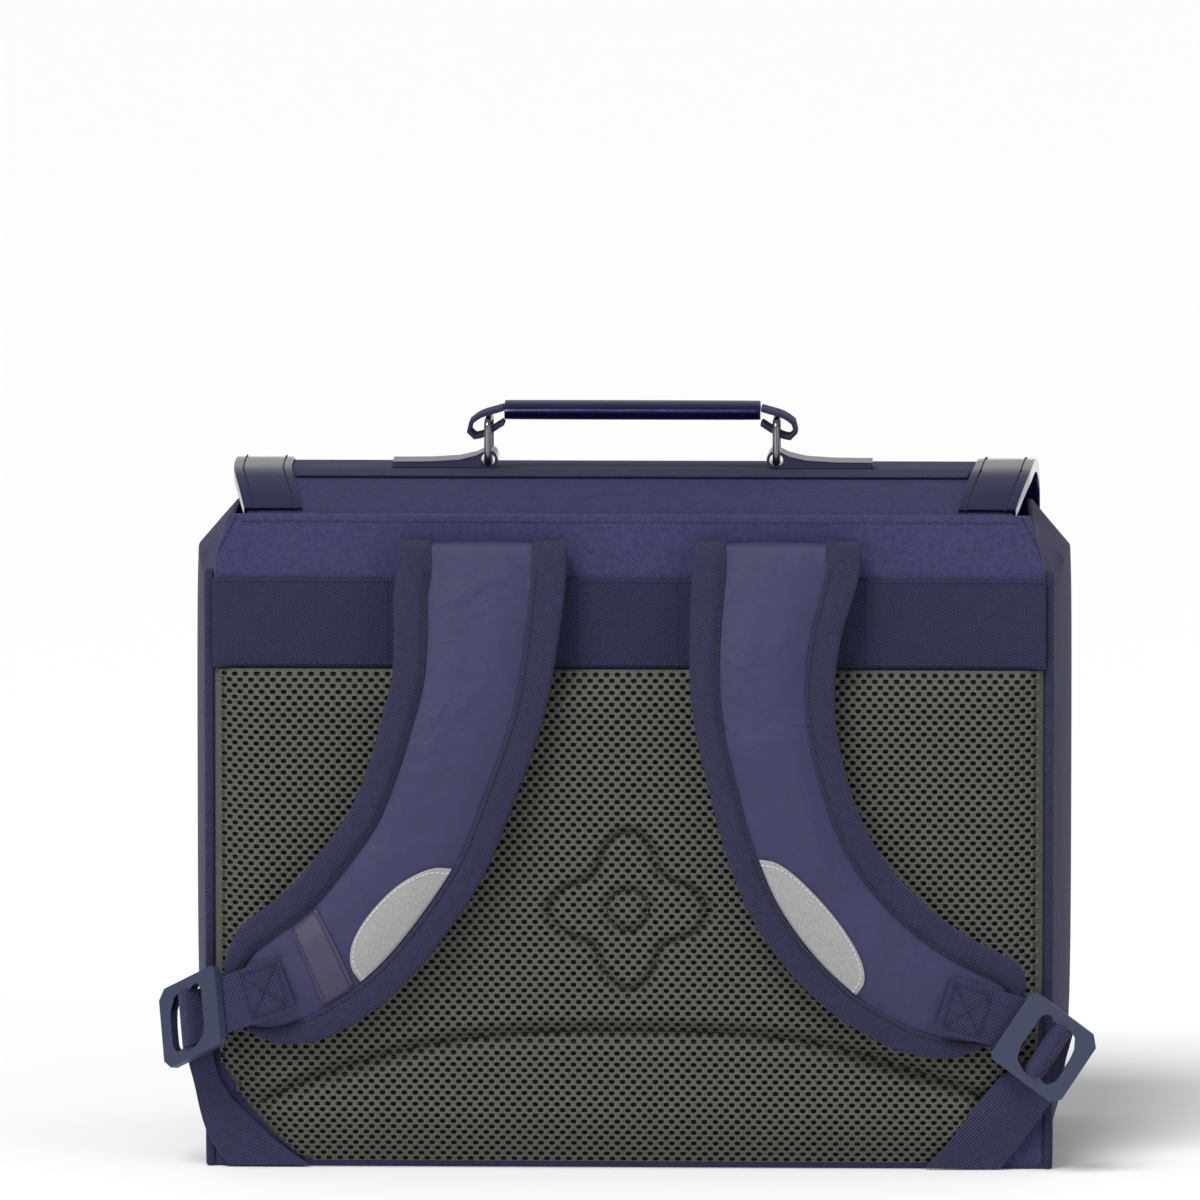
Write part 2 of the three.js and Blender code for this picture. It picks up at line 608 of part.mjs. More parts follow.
// The frame at a fractional place along a strap
function frameAt(frames, place) {
  const k = Math.min(frames.length - 2, Math.floor(place));
  const mix = place - k;
  const a = frames[k];
  const b = frames[k + 1];
  return {
    outerEdge: a.outerEdge.clone().lerp(b.outerEdge, mix),
    innerEdge: a.innerEdge.clone().lerp(b.innerEdge, mix),
    normal: a.normal.clone().lerp(b.normal, mix).normalize(),
    thick: a.thick + (b.thick - a.thick) * mix,
  };
}

// A thin patch on a strap; each row of its grid gives places along and shares across the strap
function strapPatch(frames, grid, thickness) {
  return wall(grid.map((row) => {
    const cells = row.map(({ place, share }) => {
      const frame = frameAt(frames, place);
      return { frame, share, lift: strapHalfThickness(frame, share) + PATCH_LIFT };
    });
    return {
      outer: cells.map(({ frame, share, lift }) => strapPoint(frame, share, lift + thickness)),
      inner: cells.map(({ frame, share, lift }) => strapPoint(frame, share, lift)),
    };
  }));
}

// A reflecting half-moon whose straight side lies along the inner binding
function reflector(frames, { start, end, deep }) {
  const chord = -0.58;
  const middle = (start + end) / 2;
  const grid = range(10).map((v) => {
    const away = (2 * v - 1) * 0.98;
    const reach = deep * Math.sqrt(1 - away * away);
    const place = middle + away * (end - start) / 2;
    return range(3).map((w) => ({ place, share: chord + reach * w }));
  });
  return strapPatch(frames, grid, REFLECTOR_THICKNESS);
}

// The label strip runs across the left strap, a little askew
function strapLabel(frames) {
  const side = 0.57;
  const grid = range(3).map((v) => range(4).map((w) => ({
    place: LABEL.outerEnd + (LABEL.innerEnd - LABEL.outerEnd) * w + LABEL.wide * v,
    share: side - 2 * side * w,
  })));
  return strapPatch(frames, grid, REFLECTOR_THICKNESS);
}

// A strip of webbing between two edges, each row giving its left and right edge points
function ribbon(rows, thickness) {
  return wall(rows.map((row, k) => {
    const before = rows[Math.max(0, k - 1)];
    const after = rows[Math.min(rows.length - 1, k + 1)];
    const along = after.left.clone().add(after.right).sub(before.left).sub(before.right);
    const normal = along.cross(row.left.clone().sub(row.right)).normalize();
    const shift = (point, lift) => point.clone().addScaledVector(normal, lift);
    return {
      outer: [shift(row.left, thickness / 2), shift(row.right, thickness / 2)],
      inner: [shift(row.left, -thickness / 2), shift(row.right, -thickness / 2)],
    };
  }));
}

// Each buckle: the middle of its frame, the direction of pull and that of its bars, as
// [x, z, off the back], and where its webbing tab starts on the strap
const BUCKLES = {
  left: { x: -189.4, z: 67.2, layer: 15.8, pull: [-0.69, -0.41, -0.596], bars: [0.1, -0.95, 0.3],
    tab: { x: -147.5, z: 84, layer: 24.9 } },
  right: { x: 181, z: 56.5, layer: 23.4, pull: [0.8, -0.6, 0], bars: [-0.55, -0.835, 0],
    tab: { x: 137, z: 76, layer: 24.9 } },
};

function bucklePoint(place, along, across, lift) {
  const pull = spot(place.pull[0], place.pull[2], place.pull[1]).sub(spot(0, 0, 0));
  const bars = spot(place.bars[0], place.bars[2], place.bars[1]).sub(spot(0, 0, 0));
  const out = pull.clone().cross(bars).normalize();
  if (out.y > 0) out.negate();
  return spot(place.x, place.layer, place.z).addScaledVector(pull, along)
    .addScaledVector(bars, across).addScaledVector(out, lift);
}

// A ladder-lock buckle: a broad plate, a thin middle bar and a round outer bar between two cheeks
function buckle(place) {
  const half = BUCKLE.length / 2;
  const side = BUCKLE.width / 2;
  const cut = 4;
  const shape = new THREE.Shape();
  const outline = [[-half, -side + 2], [-half + 2, -side], [half - cut, -side], [half, -side + cut],
    [half, side - cut], [half - cut, side], [-half + 2, side], [-half, side - 2]];
  outline.forEach(([a, b], k) => (k === 0 ? shape.moveTo(a, b) : shape.lineTo(a, b)));
  shape.closePath();
  const inner = side - BUCKLE.cheek;
  const first = -half + BUCKLE.plate;
  const last = half - BUCKLE.bar;
  const middle = (first + last) / 2;
  const skew = 0.2;   // the windows' corners don't lie on one line
  const windows = [
    { from: first, to: middle - BUCKLE.middle / 2, reach: inner },
    { from: middle + BUCKLE.middle / 2, to: last, reach: inner - 2 * skew },
  ];
  for (const { from, to, reach } of windows) {
    const hole = new THREE.Path();
    hole.moveTo(from, -reach);
    hole.lineTo(from, reach + skew);
    hole.lineTo(to, reach);
    hole.lineTo(to, -reach + skew);
    hole.closePath();
    shape.holes.push(hole);
  }
  const geometry = new THREE.ExtrudeGeometry(shape, { depth: BUCKLE.thick, bevelEnabled: false });
  const source = geometry.index ? geometry.toNonIndexed() : geometry;
  const position = source.attributes.position;
  const points = [];
  const triangles = [];
  for (let i = 0; i < position.count; i += 1) {
    const lift = position.getZ(i) - BUCKLE.thick / 2;
    points.push(bucklePoint(place, position.getX(i), position.getY(i), lift));
    if (i % 3 === 2) triangles.push([i - 2, i - 1, i]);
  }
  return closedGeometry(points, triangles);
}

// The tab is sewn on the end of the strap and reaches behind the buckle's broad plate
function strapTab(place) {
  const reach = TAB_HALF_WIDTH;
  const behind = -BUCKLE.thick / 2 - CLEARANCE - WEBBING / 2;
  const plate = -BUCKLE.length / 2;
  const ends = [plate + 1, plate + 7].map((along) => ({
    left: bucklePoint(place, along, -reach, behind), right: bucklePoint(place, along, reach, behind),
  }));
  const { tab } = place;
  const start = spot(tab.x, tab.layer, tab.z);
  const finish = ends[0].left.clone().lerp(ends[0].right, 0.5);
  const across = finish.clone().sub(start).cross(new THREE.Vector3(0, 1, 0)).setLength(reach);
  if (across.z < 0) across.negate();
  const rows = [0, 0.3, 0.6, 0.85].map((v) => {
    const rise = TAB_RISE * Math.sin(Math.PI * v);
    const middle = start.clone().lerp(finish, v).add(new THREE.Vector3(0, -rise, 0));
    const half = across.clone().lerp(ends[0].left.clone().sub(finish), v * v);
    return { left: middle.clone().add(half), right: middle.clone().sub(half) };
  });
  return ribbon([...rows, ...ends], WEBBING);
}

// The lower webbing leaves the bottom seam, turns behind the buckle and goes over its middle bar
const LOWER_LEFT = [
  { xl: -175, zl: 0.8, ll: 3, xr: -138.5, zr: 0.8, lr: 3 },
  { xl: -183, zl: 11, ll: 3, xr: -154, zr: 11, lr: 3 },
  { xl: -187.5, zl: 26, ll: 3.4, xr: -167, zr: 24, lr: 3.4 },
  { xl: -189, zl: 36, ll: 4, xr: -179, zr: 37, lr: 4 },
  { xl: -192, zl: 46, ll: 6, xr: -182, zr: 55, lr: 6 },
];
const LOWER_RIGHT = [
  { xl: 129, zl: 0.8, ll: 3.5, xr: 162, zr: 0.8, lr: 3 },
  { xl: 140, zl: 13, ll: 10.5, xr: 170.5, zr: 11, lr: 5 },
  { xl: 150, zl: 28, ll: 13.6, xr: 181, zr: 27, lr: 8 },
  { xl: 162, zl: 43, ll: 15, xr: 186, zr: 34, lr: 13 },
];

function lowerWebbing(table, place) {
  const rows = table.map((row) => ({
    left: spot(row.xl, row.ll, row.zl), right: spot(row.xr, row.lr, row.zr),
  }));
  const half = BUCKLE.length / 2;
  const middle = (-half + BUCKLE.plate + half - BUCKLE.bar) / 2;
  const behind = -BUCKLE.thick / 2 - CLEARANCE - WEBBING / 2;
  const above = BUCKLE.thick / 2 + CLEARANCE + WEBBING / 2;
  const clear = BUCKLE.middle / 2 + CLEARANCE + WEBBING / 2;
  const reach = TAB_HALF_WIDTH;
  const route = [
    { along: middle + 5, lift: behind - 1.6 }, { along: middle + clear + 0.4, lift: 0 },
    { along: middle + clear - 0.6, lift: above + 0.3 }, { along: middle, lift: above + 0.8 },
    { along: middle - clear + 0.6, lift: above + 0.3 }, { along: middle - clear - 0.4, lift: 0 },
    { along: middle - clear - 1, lift: behind - 2 },
  ];
  for (const { along, lift } of route) {
    rows.push({
      left: bucklePoint(place, along, reach, lift),
      right: bucklePoint(place, along, -reach, lift),
    });
  }
  return ribbon(rows, WEBBING);
}

addPiece('bottom_panel', bottomPanel(), FINISH.fabric());
addPiece('back_panel', backPanel(), FINISH.fabric());
addPiece('front_panel', frontPanel(), FINISH.fabric());
addPiece('back_pad', backPad(), FINISH.mesh());
addPiece('back_yoke', backYoke(), FINISH.fabric());
addPiece('back_band', backBand(), FINISH.webbing());
addPiece('flap', flap(), FINISH.fabric());
addPiece('crest_strip', crestStrip(), FINISH.binding());
addPiece('handle_grip', handleGrip(), FINISH.patent());

const SIDES = [{ name: 'left', sign: -1 }, { name: 'right', sign: 1 }];
for (const { name, sign } of SIDES) {
  addPiece(`side_gusset_${name}`, sideGusset(sign), FINISH.fabric());
  addPiece(`side_binding_${name}`, sideBinding(sign), FINISH.binding());
  addPiece(`flap_trim_${name}`, flapTrim(sign), FINISH.patent());
  addPiece(`closure_strap_${name}`, closureStrap(sign), FINISH.patent());
  addPiece(`closure_clasp_${name}`, closureClasp(sign), FINISH.metal());
  addPiece(`handle_tab_${name}`, handleTab(sign), FINISH.patent());
  addPiece(`handle_ring_${name}`, handleRing(sign), FINISH.metal());
  addPiece(`handle_web_${name}`, handleWeb(sign), FINISH.webbing());

  const frames = strapFrames(sign < 0 ? STRAP_LEFT : STRAP_RIGHT, sign);
  const place = BUCKLES[name];
  addPiece(`strap_${name}`, strap(frames), FINISH.fabric());
  addPiece(`strap_binding_${name}_inner`, strapBinding(frames, -1), FINISH.binding());
  addPiece(`strap_binding_${name}_outer`, strapBinding(frames, 1), FINISH.binding());
  addPiece(`reflector_${name}`, reflector(frames, REFLECTORS[name]), FINISH.reflector());
  addPiece(`buckle_${name}`, buckle(place), FINISH.plastic());
  addPiece(`strap_tab_${name}`, strapTab(place), FINISH.webbing());
  const table = sign < 0 ? LOWER_LEFT : LOWER_RIGHT;
  addPiece(`lower_webbing_${name}`, lowerWebbing(table, place), FINISH.webbing());
  if (sign < 0) addPiece('strap_label', strapLabel(frames), FINISH.label());
}

// The origin is the middle of the footprint of the whole bag
const footprint = new THREE.Box3().setFromObject(group).getCenter(new THREE.Vector3());
group.position.set(-footprint.x, -footprint.y, 0);

export default group;
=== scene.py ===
# A school ransel seen from the wearer's side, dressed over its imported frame
import math

import bmesh
import bpy
import numpy as np
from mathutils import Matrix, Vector
from mathutils.bvhtree import BVHTree


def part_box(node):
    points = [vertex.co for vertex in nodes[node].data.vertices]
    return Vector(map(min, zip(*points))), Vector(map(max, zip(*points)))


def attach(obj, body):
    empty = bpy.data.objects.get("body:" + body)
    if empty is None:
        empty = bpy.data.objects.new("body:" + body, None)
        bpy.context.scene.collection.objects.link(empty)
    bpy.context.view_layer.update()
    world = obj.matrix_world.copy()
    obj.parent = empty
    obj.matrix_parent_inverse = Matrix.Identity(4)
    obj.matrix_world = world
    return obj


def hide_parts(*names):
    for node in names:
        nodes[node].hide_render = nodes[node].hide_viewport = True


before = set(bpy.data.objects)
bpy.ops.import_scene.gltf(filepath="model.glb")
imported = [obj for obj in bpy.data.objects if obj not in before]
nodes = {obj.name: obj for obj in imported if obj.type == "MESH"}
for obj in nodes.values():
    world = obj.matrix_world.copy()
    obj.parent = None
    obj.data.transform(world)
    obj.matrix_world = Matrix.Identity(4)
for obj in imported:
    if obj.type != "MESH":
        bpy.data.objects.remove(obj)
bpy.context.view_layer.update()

# The view
# The photograph is taken from a little above and slightly from the right with a long lens,
# and the bag stands low in its square frame.
MM = 0.001
panel_low, panel_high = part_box("back_panel")
MIDDLE_X = (panel_low.x + panel_high.x) / 2
BACK_Y = panel_low.y
FRAME_WIDTH = 521 * MM
CAMERA_FAR = 6.0
CAMERA_AZIMUTH = math.radians(1.75)
CAMERA_ELEVATION = math.radians(6)
AIM_LEFT = 12.6 * MM
AIM_HEIGHT = 248.7 * MM
aim = Vector((MIDDLE_X - AIM_LEFT, BACK_Y, AIM_HEIGHT))
level = math.cos(CAMERA_ELEVATION)
toward = Vector((math.sin(CAMERA_AZIMUTH) * level, -math.cos(CAMERA_AZIMUTH) * level,
                 math.sin(CAMERA_ELEVATION)))
camera_data = bpy.data.cameras.new("photo_camera")
camera_data.sensor_width = 36
camera_data.lens = 36 * CAMERA_FAR / FRAME_WIDTH
camera_data.clip_end = 50
camera = bpy.data.objects.new("photo_camera", camera_data)
camera.location = aim + toward * CAMERA_FAR
camera.rotation_euler = (-toward).to_track_quat("-Z", "Y").to_euler()
bpy.context.scene.collection.objects.link(camera)
bpy.context.scene.camera = camera
bpy.context.scene.view_settings.view_transform = "Standard"


# The board-stiffened body
# Back, bottom, front and two side gussets are woven navy polyester over board, sewn into an
# open box. The gussets belly out, and the cloth shows its fine weave and a slight slub.
def new_material(name):
    material = bpy.data.materials.new(name)
    material.use_nodes = True
    tree = material.node_tree
    shader = tree.nodes["Principled BSDF"]
    return material, tree, shader


def group_math(tree, operation, first, second=None):
    node = tree.nodes.new("ShaderNodeMath")
    node.operation = operation
    for socket, value in zip(node.inputs, (first, second)):
        if isinstance(value, (int, float)):
            socket.default_value = value
        elif value is not None:
            tree.links.new(value, socket)
    return node.outputs[0]


def build_mottle_group():
    """Fine uneven tone between two colours, for thread, knit, beads, plastic and leather."""
    tree = bpy.data.node_groups.new("mottle", "ShaderNodeTree")
    face = tree.interface
    face.new_socket("Place", in_out="INPUT", socket_type="NodeSocketVector")
    face.new_socket("Scale", in_out="INPUT", socket_type="NodeSocketFloat")
    face.new_socket("Detail", in_out="INPUT", socket_type="NodeSocketFloat")
    face.new_socket("Dark", in_out="INPUT", socket_type="NodeSocketColor")
    face.new_socket("Light", in_out="INPUT", socket_type="NodeSocketColor")
    face.new_socket("Colour", in_out="OUTPUT", socket_type="NodeSocketColor")
    face.new_socket("Value", in_out="OUTPUT", socket_type="NodeSocketFloat")
    inside = tree.nodes.new("NodeGroupInput")
    outside = tree.nodes.new("NodeGroupOutput")
    noise = tree.nodes.new("ShaderNodeTexNoise")
    blend = tree.nodes.new("ShaderNodeMix")
    blend.data_type = "RGBA"
    tree.links.new(inside.outputs["Place"], noise.inputs["Vector"])
    tree.links.new(inside.outputs["Scale"], noise.inputs["Scale"])
    tree.links.new(inside.outputs["Detail"], noise.inputs["Detail"])
    tree.links.new(noise.outputs["Fac"], blend.inputs["Factor"])
    tree.links.new(inside.outputs["Dark"], blend.inputs["A"])
    tree.links.new(inside.outputs["Light"], blend.inputs["B"])
    tree.links.new(blend.outputs["Result"], outside.inputs["Colour"])
    tree.links.new(noise.outputs["Fac"], outside.inputs["Value"])
    return tree


mottle_group = build_mottle_group()


def mottled(tree, shader, scale, detail, dark=None, light=None):
    """Places the mottle in a material, and drives its base colour where two colours are given."""
    coordinates = tree.nodes.new("ShaderNodeTexCoord")
    mottle = tree.nodes.new("ShaderNodeGroup")
    mottle.node_tree = mottle_group
    mottle.inputs["Scale"].default_value = scale
    mottle.inputs["Detail"].default_value = detail
    tree.links.new(coordinates.outputs["Object"], mottle.inputs["Place"])
    if dark:
        mottle.inputs["Dark"].default_value = (*dark, 1)
        mottle.inputs["Light"].default_value = (*light, 1)
        tree.links.new(mottle.outputs["Colour"], shader.inputs["Base Color"])
    return mottle.outputs["Value"]


def relief_of(tree, shader, height, strength, distance):
    bump = tree.nodes.new("ShaderNodeBump")
    bump.inputs["Strength"].default_value = strength
    bump.inputs["Distance"].default_value = distance * MM
    tree.links.new(height, bump.inputs["Height"])
    tree.links.new(bump.outputs["Normal"], shader.inputs["Normal"])


def build_weave_group():
    tree = bpy.data.node_groups.new("cloth_weave", "ShaderNodeTree")
    face = tree.interface
    face.new_socket("Place", in_out="INPUT", socket_type="NodeSocketVector")
    face.new_socket("Across", in_out="INPUT", socket_type="NodeSocketVector")
    face.new_socket("Along", in_out="INPUT", socket_type="NodeSocketVector")
    for name in ("Across Pitch", "Along Pitch", "Twill", "Slub"):
        face.new_socket(name, in_out="INPUT", socket_type="NodeSocketFloat")
    face.new_socket("Height", in_out="OUTPUT", socket_type="NodeSocketFloat")
    face.new_socket("Shade", in_out="OUTPUT", socket_type="NodeSocketFloat")
    inside = tree.nodes.new("NodeGroupInput")
    outside = tree.nodes.new("NodeGroupOutput")
    turns = []
    for direction, pitch in (("Across", "Across Pitch"), ("Along", "Along Pitch")):
        dot = tree.nodes.new("ShaderNodeVectorMath")
        dot.operation = "DOT_PRODUCT"
        tree.links.new(inside.outputs["Place"], dot.inputs[0])
        tree.links.new(inside.outputs[direction], dot.inputs[1])
        count = group_math(tree, "DIVIDE", dot.outputs["Value"], inside.outputs[pitch])
        turns.append(group_math(tree, "MULTIPLY", count, math.pi))
    across = group_math(tree, "SINE", turns[0])
    along = group_math(tree, "SINE", turns[1])
    plain = group_math(tree, "MULTIPLY", across, along)
    diagonal = group_math(tree, "SINE", group_math(tree, "ADD", turns[0], turns[1]))
    mixed = group_math(tree, "MULTIPLY_ADD", group_math(tree, "SUBTRACT", diagonal, plain),
                       inside.outputs["Twill"])
    tree.links.new(plain, mixed.node.inputs[2])
    height = group_math(tree, "MULTIPLY_ADD", mixed, 0.85)
    height.node.use_clamp = True
    height.node.inputs[2].default_value = 0.5
    noise = tree.nodes.new("ShaderNodeTexNoise")
    noise.inputs["Scale"].default_value = 420
    noise.inputs["Detail"].default_value = 5
    tree.links.new(inside.outputs["Place"], noise.inputs["Vector"])
    slub = group_math(tree, "MULTIPLY", group_math(tree, "SUBTRACT", noise.outputs["Fac"], 0.5),
                      inside.outputs["Slub"])
    shade = group_math(tree, "MULTIPLY", height, 0.9)
    shade = group_math(tree, "ADD", shade, slub)
    tree.links.new(height, outside.inputs["Height"])
    tree.links.new(shade, outside.inputs["Shade"])
    return tree


weave_group = build_weave_group()
FACING_BACK = ((1, 0, 0), (0, 0.3, 1))
FACING_SIDE = ((0, 1, 0), (0, 0, 1))


def cloth(name, dark, light, pitch, twill=0.0, slub=0.9, bump=0.5, facing=FACING_BACK,
          roughness=0.8, sheen=0.04, crease=0.25):
    material, tree, shader = new_material(name)
    coordinates = tree.nodes.new("ShaderNodeTexCoord")
    weave = tree.nodes.new("ShaderNodeGroup")
    weave.node_tree = weave_group
    weave.inputs["Across"].default_value = facing[0]
    weave.inputs["Along"].default_value = facing[1]
    weave.inputs["Across Pitch"].default_value = pitch[0] * MM
    weave.inputs["Along Pitch"].default_value = pitch[1] * MM
    weave.inputs["Twill"].default_value = twill
    weave.inputs["Slub"].default_value = slub
    tree.links.new(coordinates.outputs["Object"], weave.inputs["Place"])
    ramp = tree.nodes.new("ShaderNodeMix")
    ramp.data_type = "RGBA"
    ramp.inputs["A"].default_value = (*dark, 1)
    ramp.inputs["B"].default_value = (*light, 1)
    tree.links.new(weave.outputs["Shade"], ramp.inputs["Factor"])
    tree.links.new(ramp.outputs["Result"], shader.inputs["Base Color"])
    relief = tree.nodes.new("ShaderNodeBump")
    relief.inputs["Strength"].default_value = bump
    relief.inputs["Distance"].default_value = 0.4 * MM
    tree.links.new(weave.outputs["Height"], relief.inputs["Height"])
    folds = tree.nodes.new("ShaderNodeTexNoise")
    folds.inputs["Scale"].default_value = 28
    folds.inputs["Detail"].default_value = 3
    folds.inputs["Distortion"].default_value = 0.8
    tree.links.new(coordinates.outputs["Object"], folds.inputs["Vector"])
    creases = tree.nodes.new("ShaderNodeBump")
    creases.inputs["Strength"].default_value = crease
    creases.inputs["Distance"].default_value = 6 * MM
    tree.links.new(folds.outputs["Fac"], creases.inputs["Height"])
    tree.links.new(creases.outputs["Normal"], relief.inputs["Normal"])
    tree.links.new(relief.outputs["Normal"], shader.inputs["Normal"])
    shader.inputs["Roughness"].default_value = roughness
    shader.inputs["Sheen Weight"].default_value = sheen
    shader.inputs["Sheen Roughness"].default_value = 0.4
    return material


NAVY_DARK = (0.003, 0.003, 0.019)
NAVY_LIGHT = (0.042, 0.042, 0.165)
body_cloth = cloth("body_cloth", NAVY_DARK, NAVY_LIGHT, (0.7, 0.7))
# The side gussets are the same navy cloth as the body but take a darker copy of it: painted shade for the
# sides, which face away from the light
side_cloth_painted_shade = cloth("side_cloth_painted_shade", NAVY_DARK, (0.018, 0.02, 0.095), (0.7, 0.7), facing=FACING_SIDE)


def finish_piece(piece, slot, *replaced):
    bpy.context.scene.collection.objects.link(piece)
    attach(piece, "root")
    if replaced:
        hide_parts(*replaced)
    return piece


def refined(node, name, material, slot, edge=0.5, levels=2, bend=35, inward=0):
    """A frame node's copy with joined triangles, rounded edges and finer faces. Its inner side,
    towards the middle of the bag, may be moved inward to close a seam."""
    mesh = nodes[node].data.copy()
    shape = bmesh.new()
    shape.from_mesh(mesh)
    bmesh.ops.remove_doubles(shape, verts=shape.verts, dist=0.005 * MM)
    bmesh.ops.join_triangles(shape, faces=shape.faces, angle_face_threshold=math.radians(20),
                             angle_shape_threshold=math.radians(120))
    for face in shape.faces:
        face.smooth = True
    nearest = min(abs(vertex.co.x - MIDDLE_X) for vertex in shape.verts)
    for vertex in shape.verts:
        off = vertex.co.x - MIDDLE_X
        if inward and abs(off) < nearest + 0.2 * MM:
            vertex.co.x -= math.copysign(inward * MM, off)
    shape.to_mesh(mesh)
    shape.free()
    mesh.materials.clear()
    mesh.materials.append(material)
    piece = bpy.data.objects.new(name, mesh)
    if edge:
        bevel = piece.modifiers.new("rounded_edge", "BEVEL")
        bevel.width = edge * MM
        bevel.segments = 2
        bevel.limit_method = "ANGLE"
        bevel.angle_limit = math.radians(bend)
    if levels:
        smooth = piece.modifiers.new("smooth", "SUBSURF")
        smooth.levels = smooth.render_levels = levels
    return finish_piece(piece, slot, node)


refined("back_panel", "back_cloth", body_cloth, "fabric", levels=1)
refined("bottom_panel", "bottom_cloth", body_cloth, "fabric", levels=1)
refined("front_panel", "front_cloth", body_cloth, "fabric", levels=1)
for side in ("left", "right"):
    refined(f"side_gusset_{side}", f"side_cloth_painted_shade_{side}", side_cloth_painted_shade, "fabric")

# The piping along the back edges
# Twill tape folded over the seam between the back and each gusset, run down both sides.
twill_tape = cloth("twill_tape", (0.001, 0.001, 0.01), (0.018, 0.02, 0.09), (0.8, 0.8), twill=0.85,
                   bump=0.9)
for side in ("left", "right"):
    refined(f"side_binding_{side}", f"side_piping_{side}", twill_tape, "twill", edge=1.2, inward=0.9)

# The mesh back pad
# Grey spacer mesh, knitted with staggered oval holes, over foam. It bulges, and a sewn arch
# crosses its lower part. A quatrefoil is quilted in its middle.
PAD_THICKNESS = 12
PAD_EDGE = 1.5
PAD_ROUNDING = 24
PAD_GAP = 0.3
ARCH = {"height": 61, "fall": 32, "half": 160, "curve": 2.6, "deep": 6.5, "wide": 7}
PAD_CORNER = {"wide": 43, "high": 47, "curve": 0.6}
PAD_TOP_HEM = 6
QUILT = {"z": 114, "radius": 28, "lobe": 6.5, "deep": 4.6, "wide": 3.4, "eye": 9}
HOLE_PITCH_X = 4.75
HOLE_PITCH_Z = 2.5
HOLE_HALF = (1.5, 1.04)
HOLE_DEPTH = 1.5
HOLE_DIP = 0.05
MESH_THICKNESS = HOLE_DEPTH + 0.15
FOAM_SINK = 5
pad_low, pad_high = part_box("back_pad")
PAD_BOTTOM = pad_low.z / MM
PAD_TOP = pad_high.z / MM
PAD_HALF = (pad_high.x - pad_low.x) / 2 / MM


def arch_height(x):
    return ARCH["height"] - ARCH["fall"] * (np.abs(x) / ARCH["half"]) ** ARCH["curve"]


def pad_half(z):
    rise = np.clip((z - PAD_BOTTOM) / PAD_CORNER["high"], 0, 1) ** PAD_CORNER["curve"]
    return PAD_HALF - PAD_CORNER["wide"] * (1 - rise)


def quilt_groove(x, z):
    up = z - QUILT["z"]
    turn = np.arctan2(up, x)
    far = np.hypot(x, up)
    outline = QUILT["radius"] + QUILT["lobe"] * np.cos(4 * turn)
    deep = np.clip(1 - np.abs(far - outline) / QUILT["wide"], 0, 1)
    eye = np.clip(1 - np.abs(far - QUILT["eye"]) / QUILT["wide"], 0, 1)
    return QUILT["deep"] * np.maximum(deep, 0.8 * eye)


def pad_face(x, z):
    """Distance of the pad's face from the back face, in millimetres."""
    to_side = np.maximum(0, pad_half(z) - np.abs(x))
    to_end = np.minimum(np.maximum(0, z - PAD_BOTTOM), np.maximum(0, PAD_TOP - z) + PAD_TOP_HEM)
    rise = np.sin(np.pi / 2 * np.clip(np.minimum(to_side, to_end) / PAD_ROUNDING, 0, 1))
    near = np.clip(1 - np.abs(z - arch_height(x)) / ARCH["wide"], 0, 1)
    face = PAD_GAP + PAD_EDGE + (PAD_THICKNESS - PAD_EDGE) * rise
    return face - ARCH["deep"] * near ** 1.4 * rise - quilt_groove(x, z) * rise


def place_mm(x, layer, z):
    """Points in metres from millimetres: x from the middle, layer off the back face, z up."""
    return np.stack([MIDDLE_X + np.asarray(x) * MM, BACK_Y - np.asarray(layer) * MM,
                     np.asarray(z) * MM], axis=-1)


def mesh_piece(name, points, faces, materials, indices=None):
    mesh = bpy.data.meshes.new(name)
    mesh.from_pydata([tuple(p) for p in np.asarray(points).reshape(-1, 3)], [], faces)
    for material in materials:
        mesh.materials.append(material)
    if indices is not None:
        mesh.polygons.foreach_set("material_index", indices)
    mesh.polygons.foreach_set("use_smooth", [True] * len(mesh.polygons))
    mesh.validate()
    mesh.update()
    return bpy.data.objects.new(name, mesh)


def pad_mesh_material():
    material, tree, shader = new_material("spacer_mesh")
    knit = mottled(tree, shader, 1500, 3, (0.012, 0.012, 0.01), (0.115, 0.115, 0.095))
    relief_of(tree, shader, knit, 0.6, 0.4)
    shader.inputs["Roughness"].default_value = 0.8
    return material


# The holes' walls and floors are flat matt near black: painted shade standing for the shadowed depth of
# the knit below the shallow modelled holes
def painted_hole_shade_material():
    material, tree, shader = new_material("mesh_hole_painted_shade")
    shader.inputs["Base Color"].default_value = (0.004, 0.004, 0.005, 1)
    shader.inputs["Roughness"].default_value = 1.0
    return material


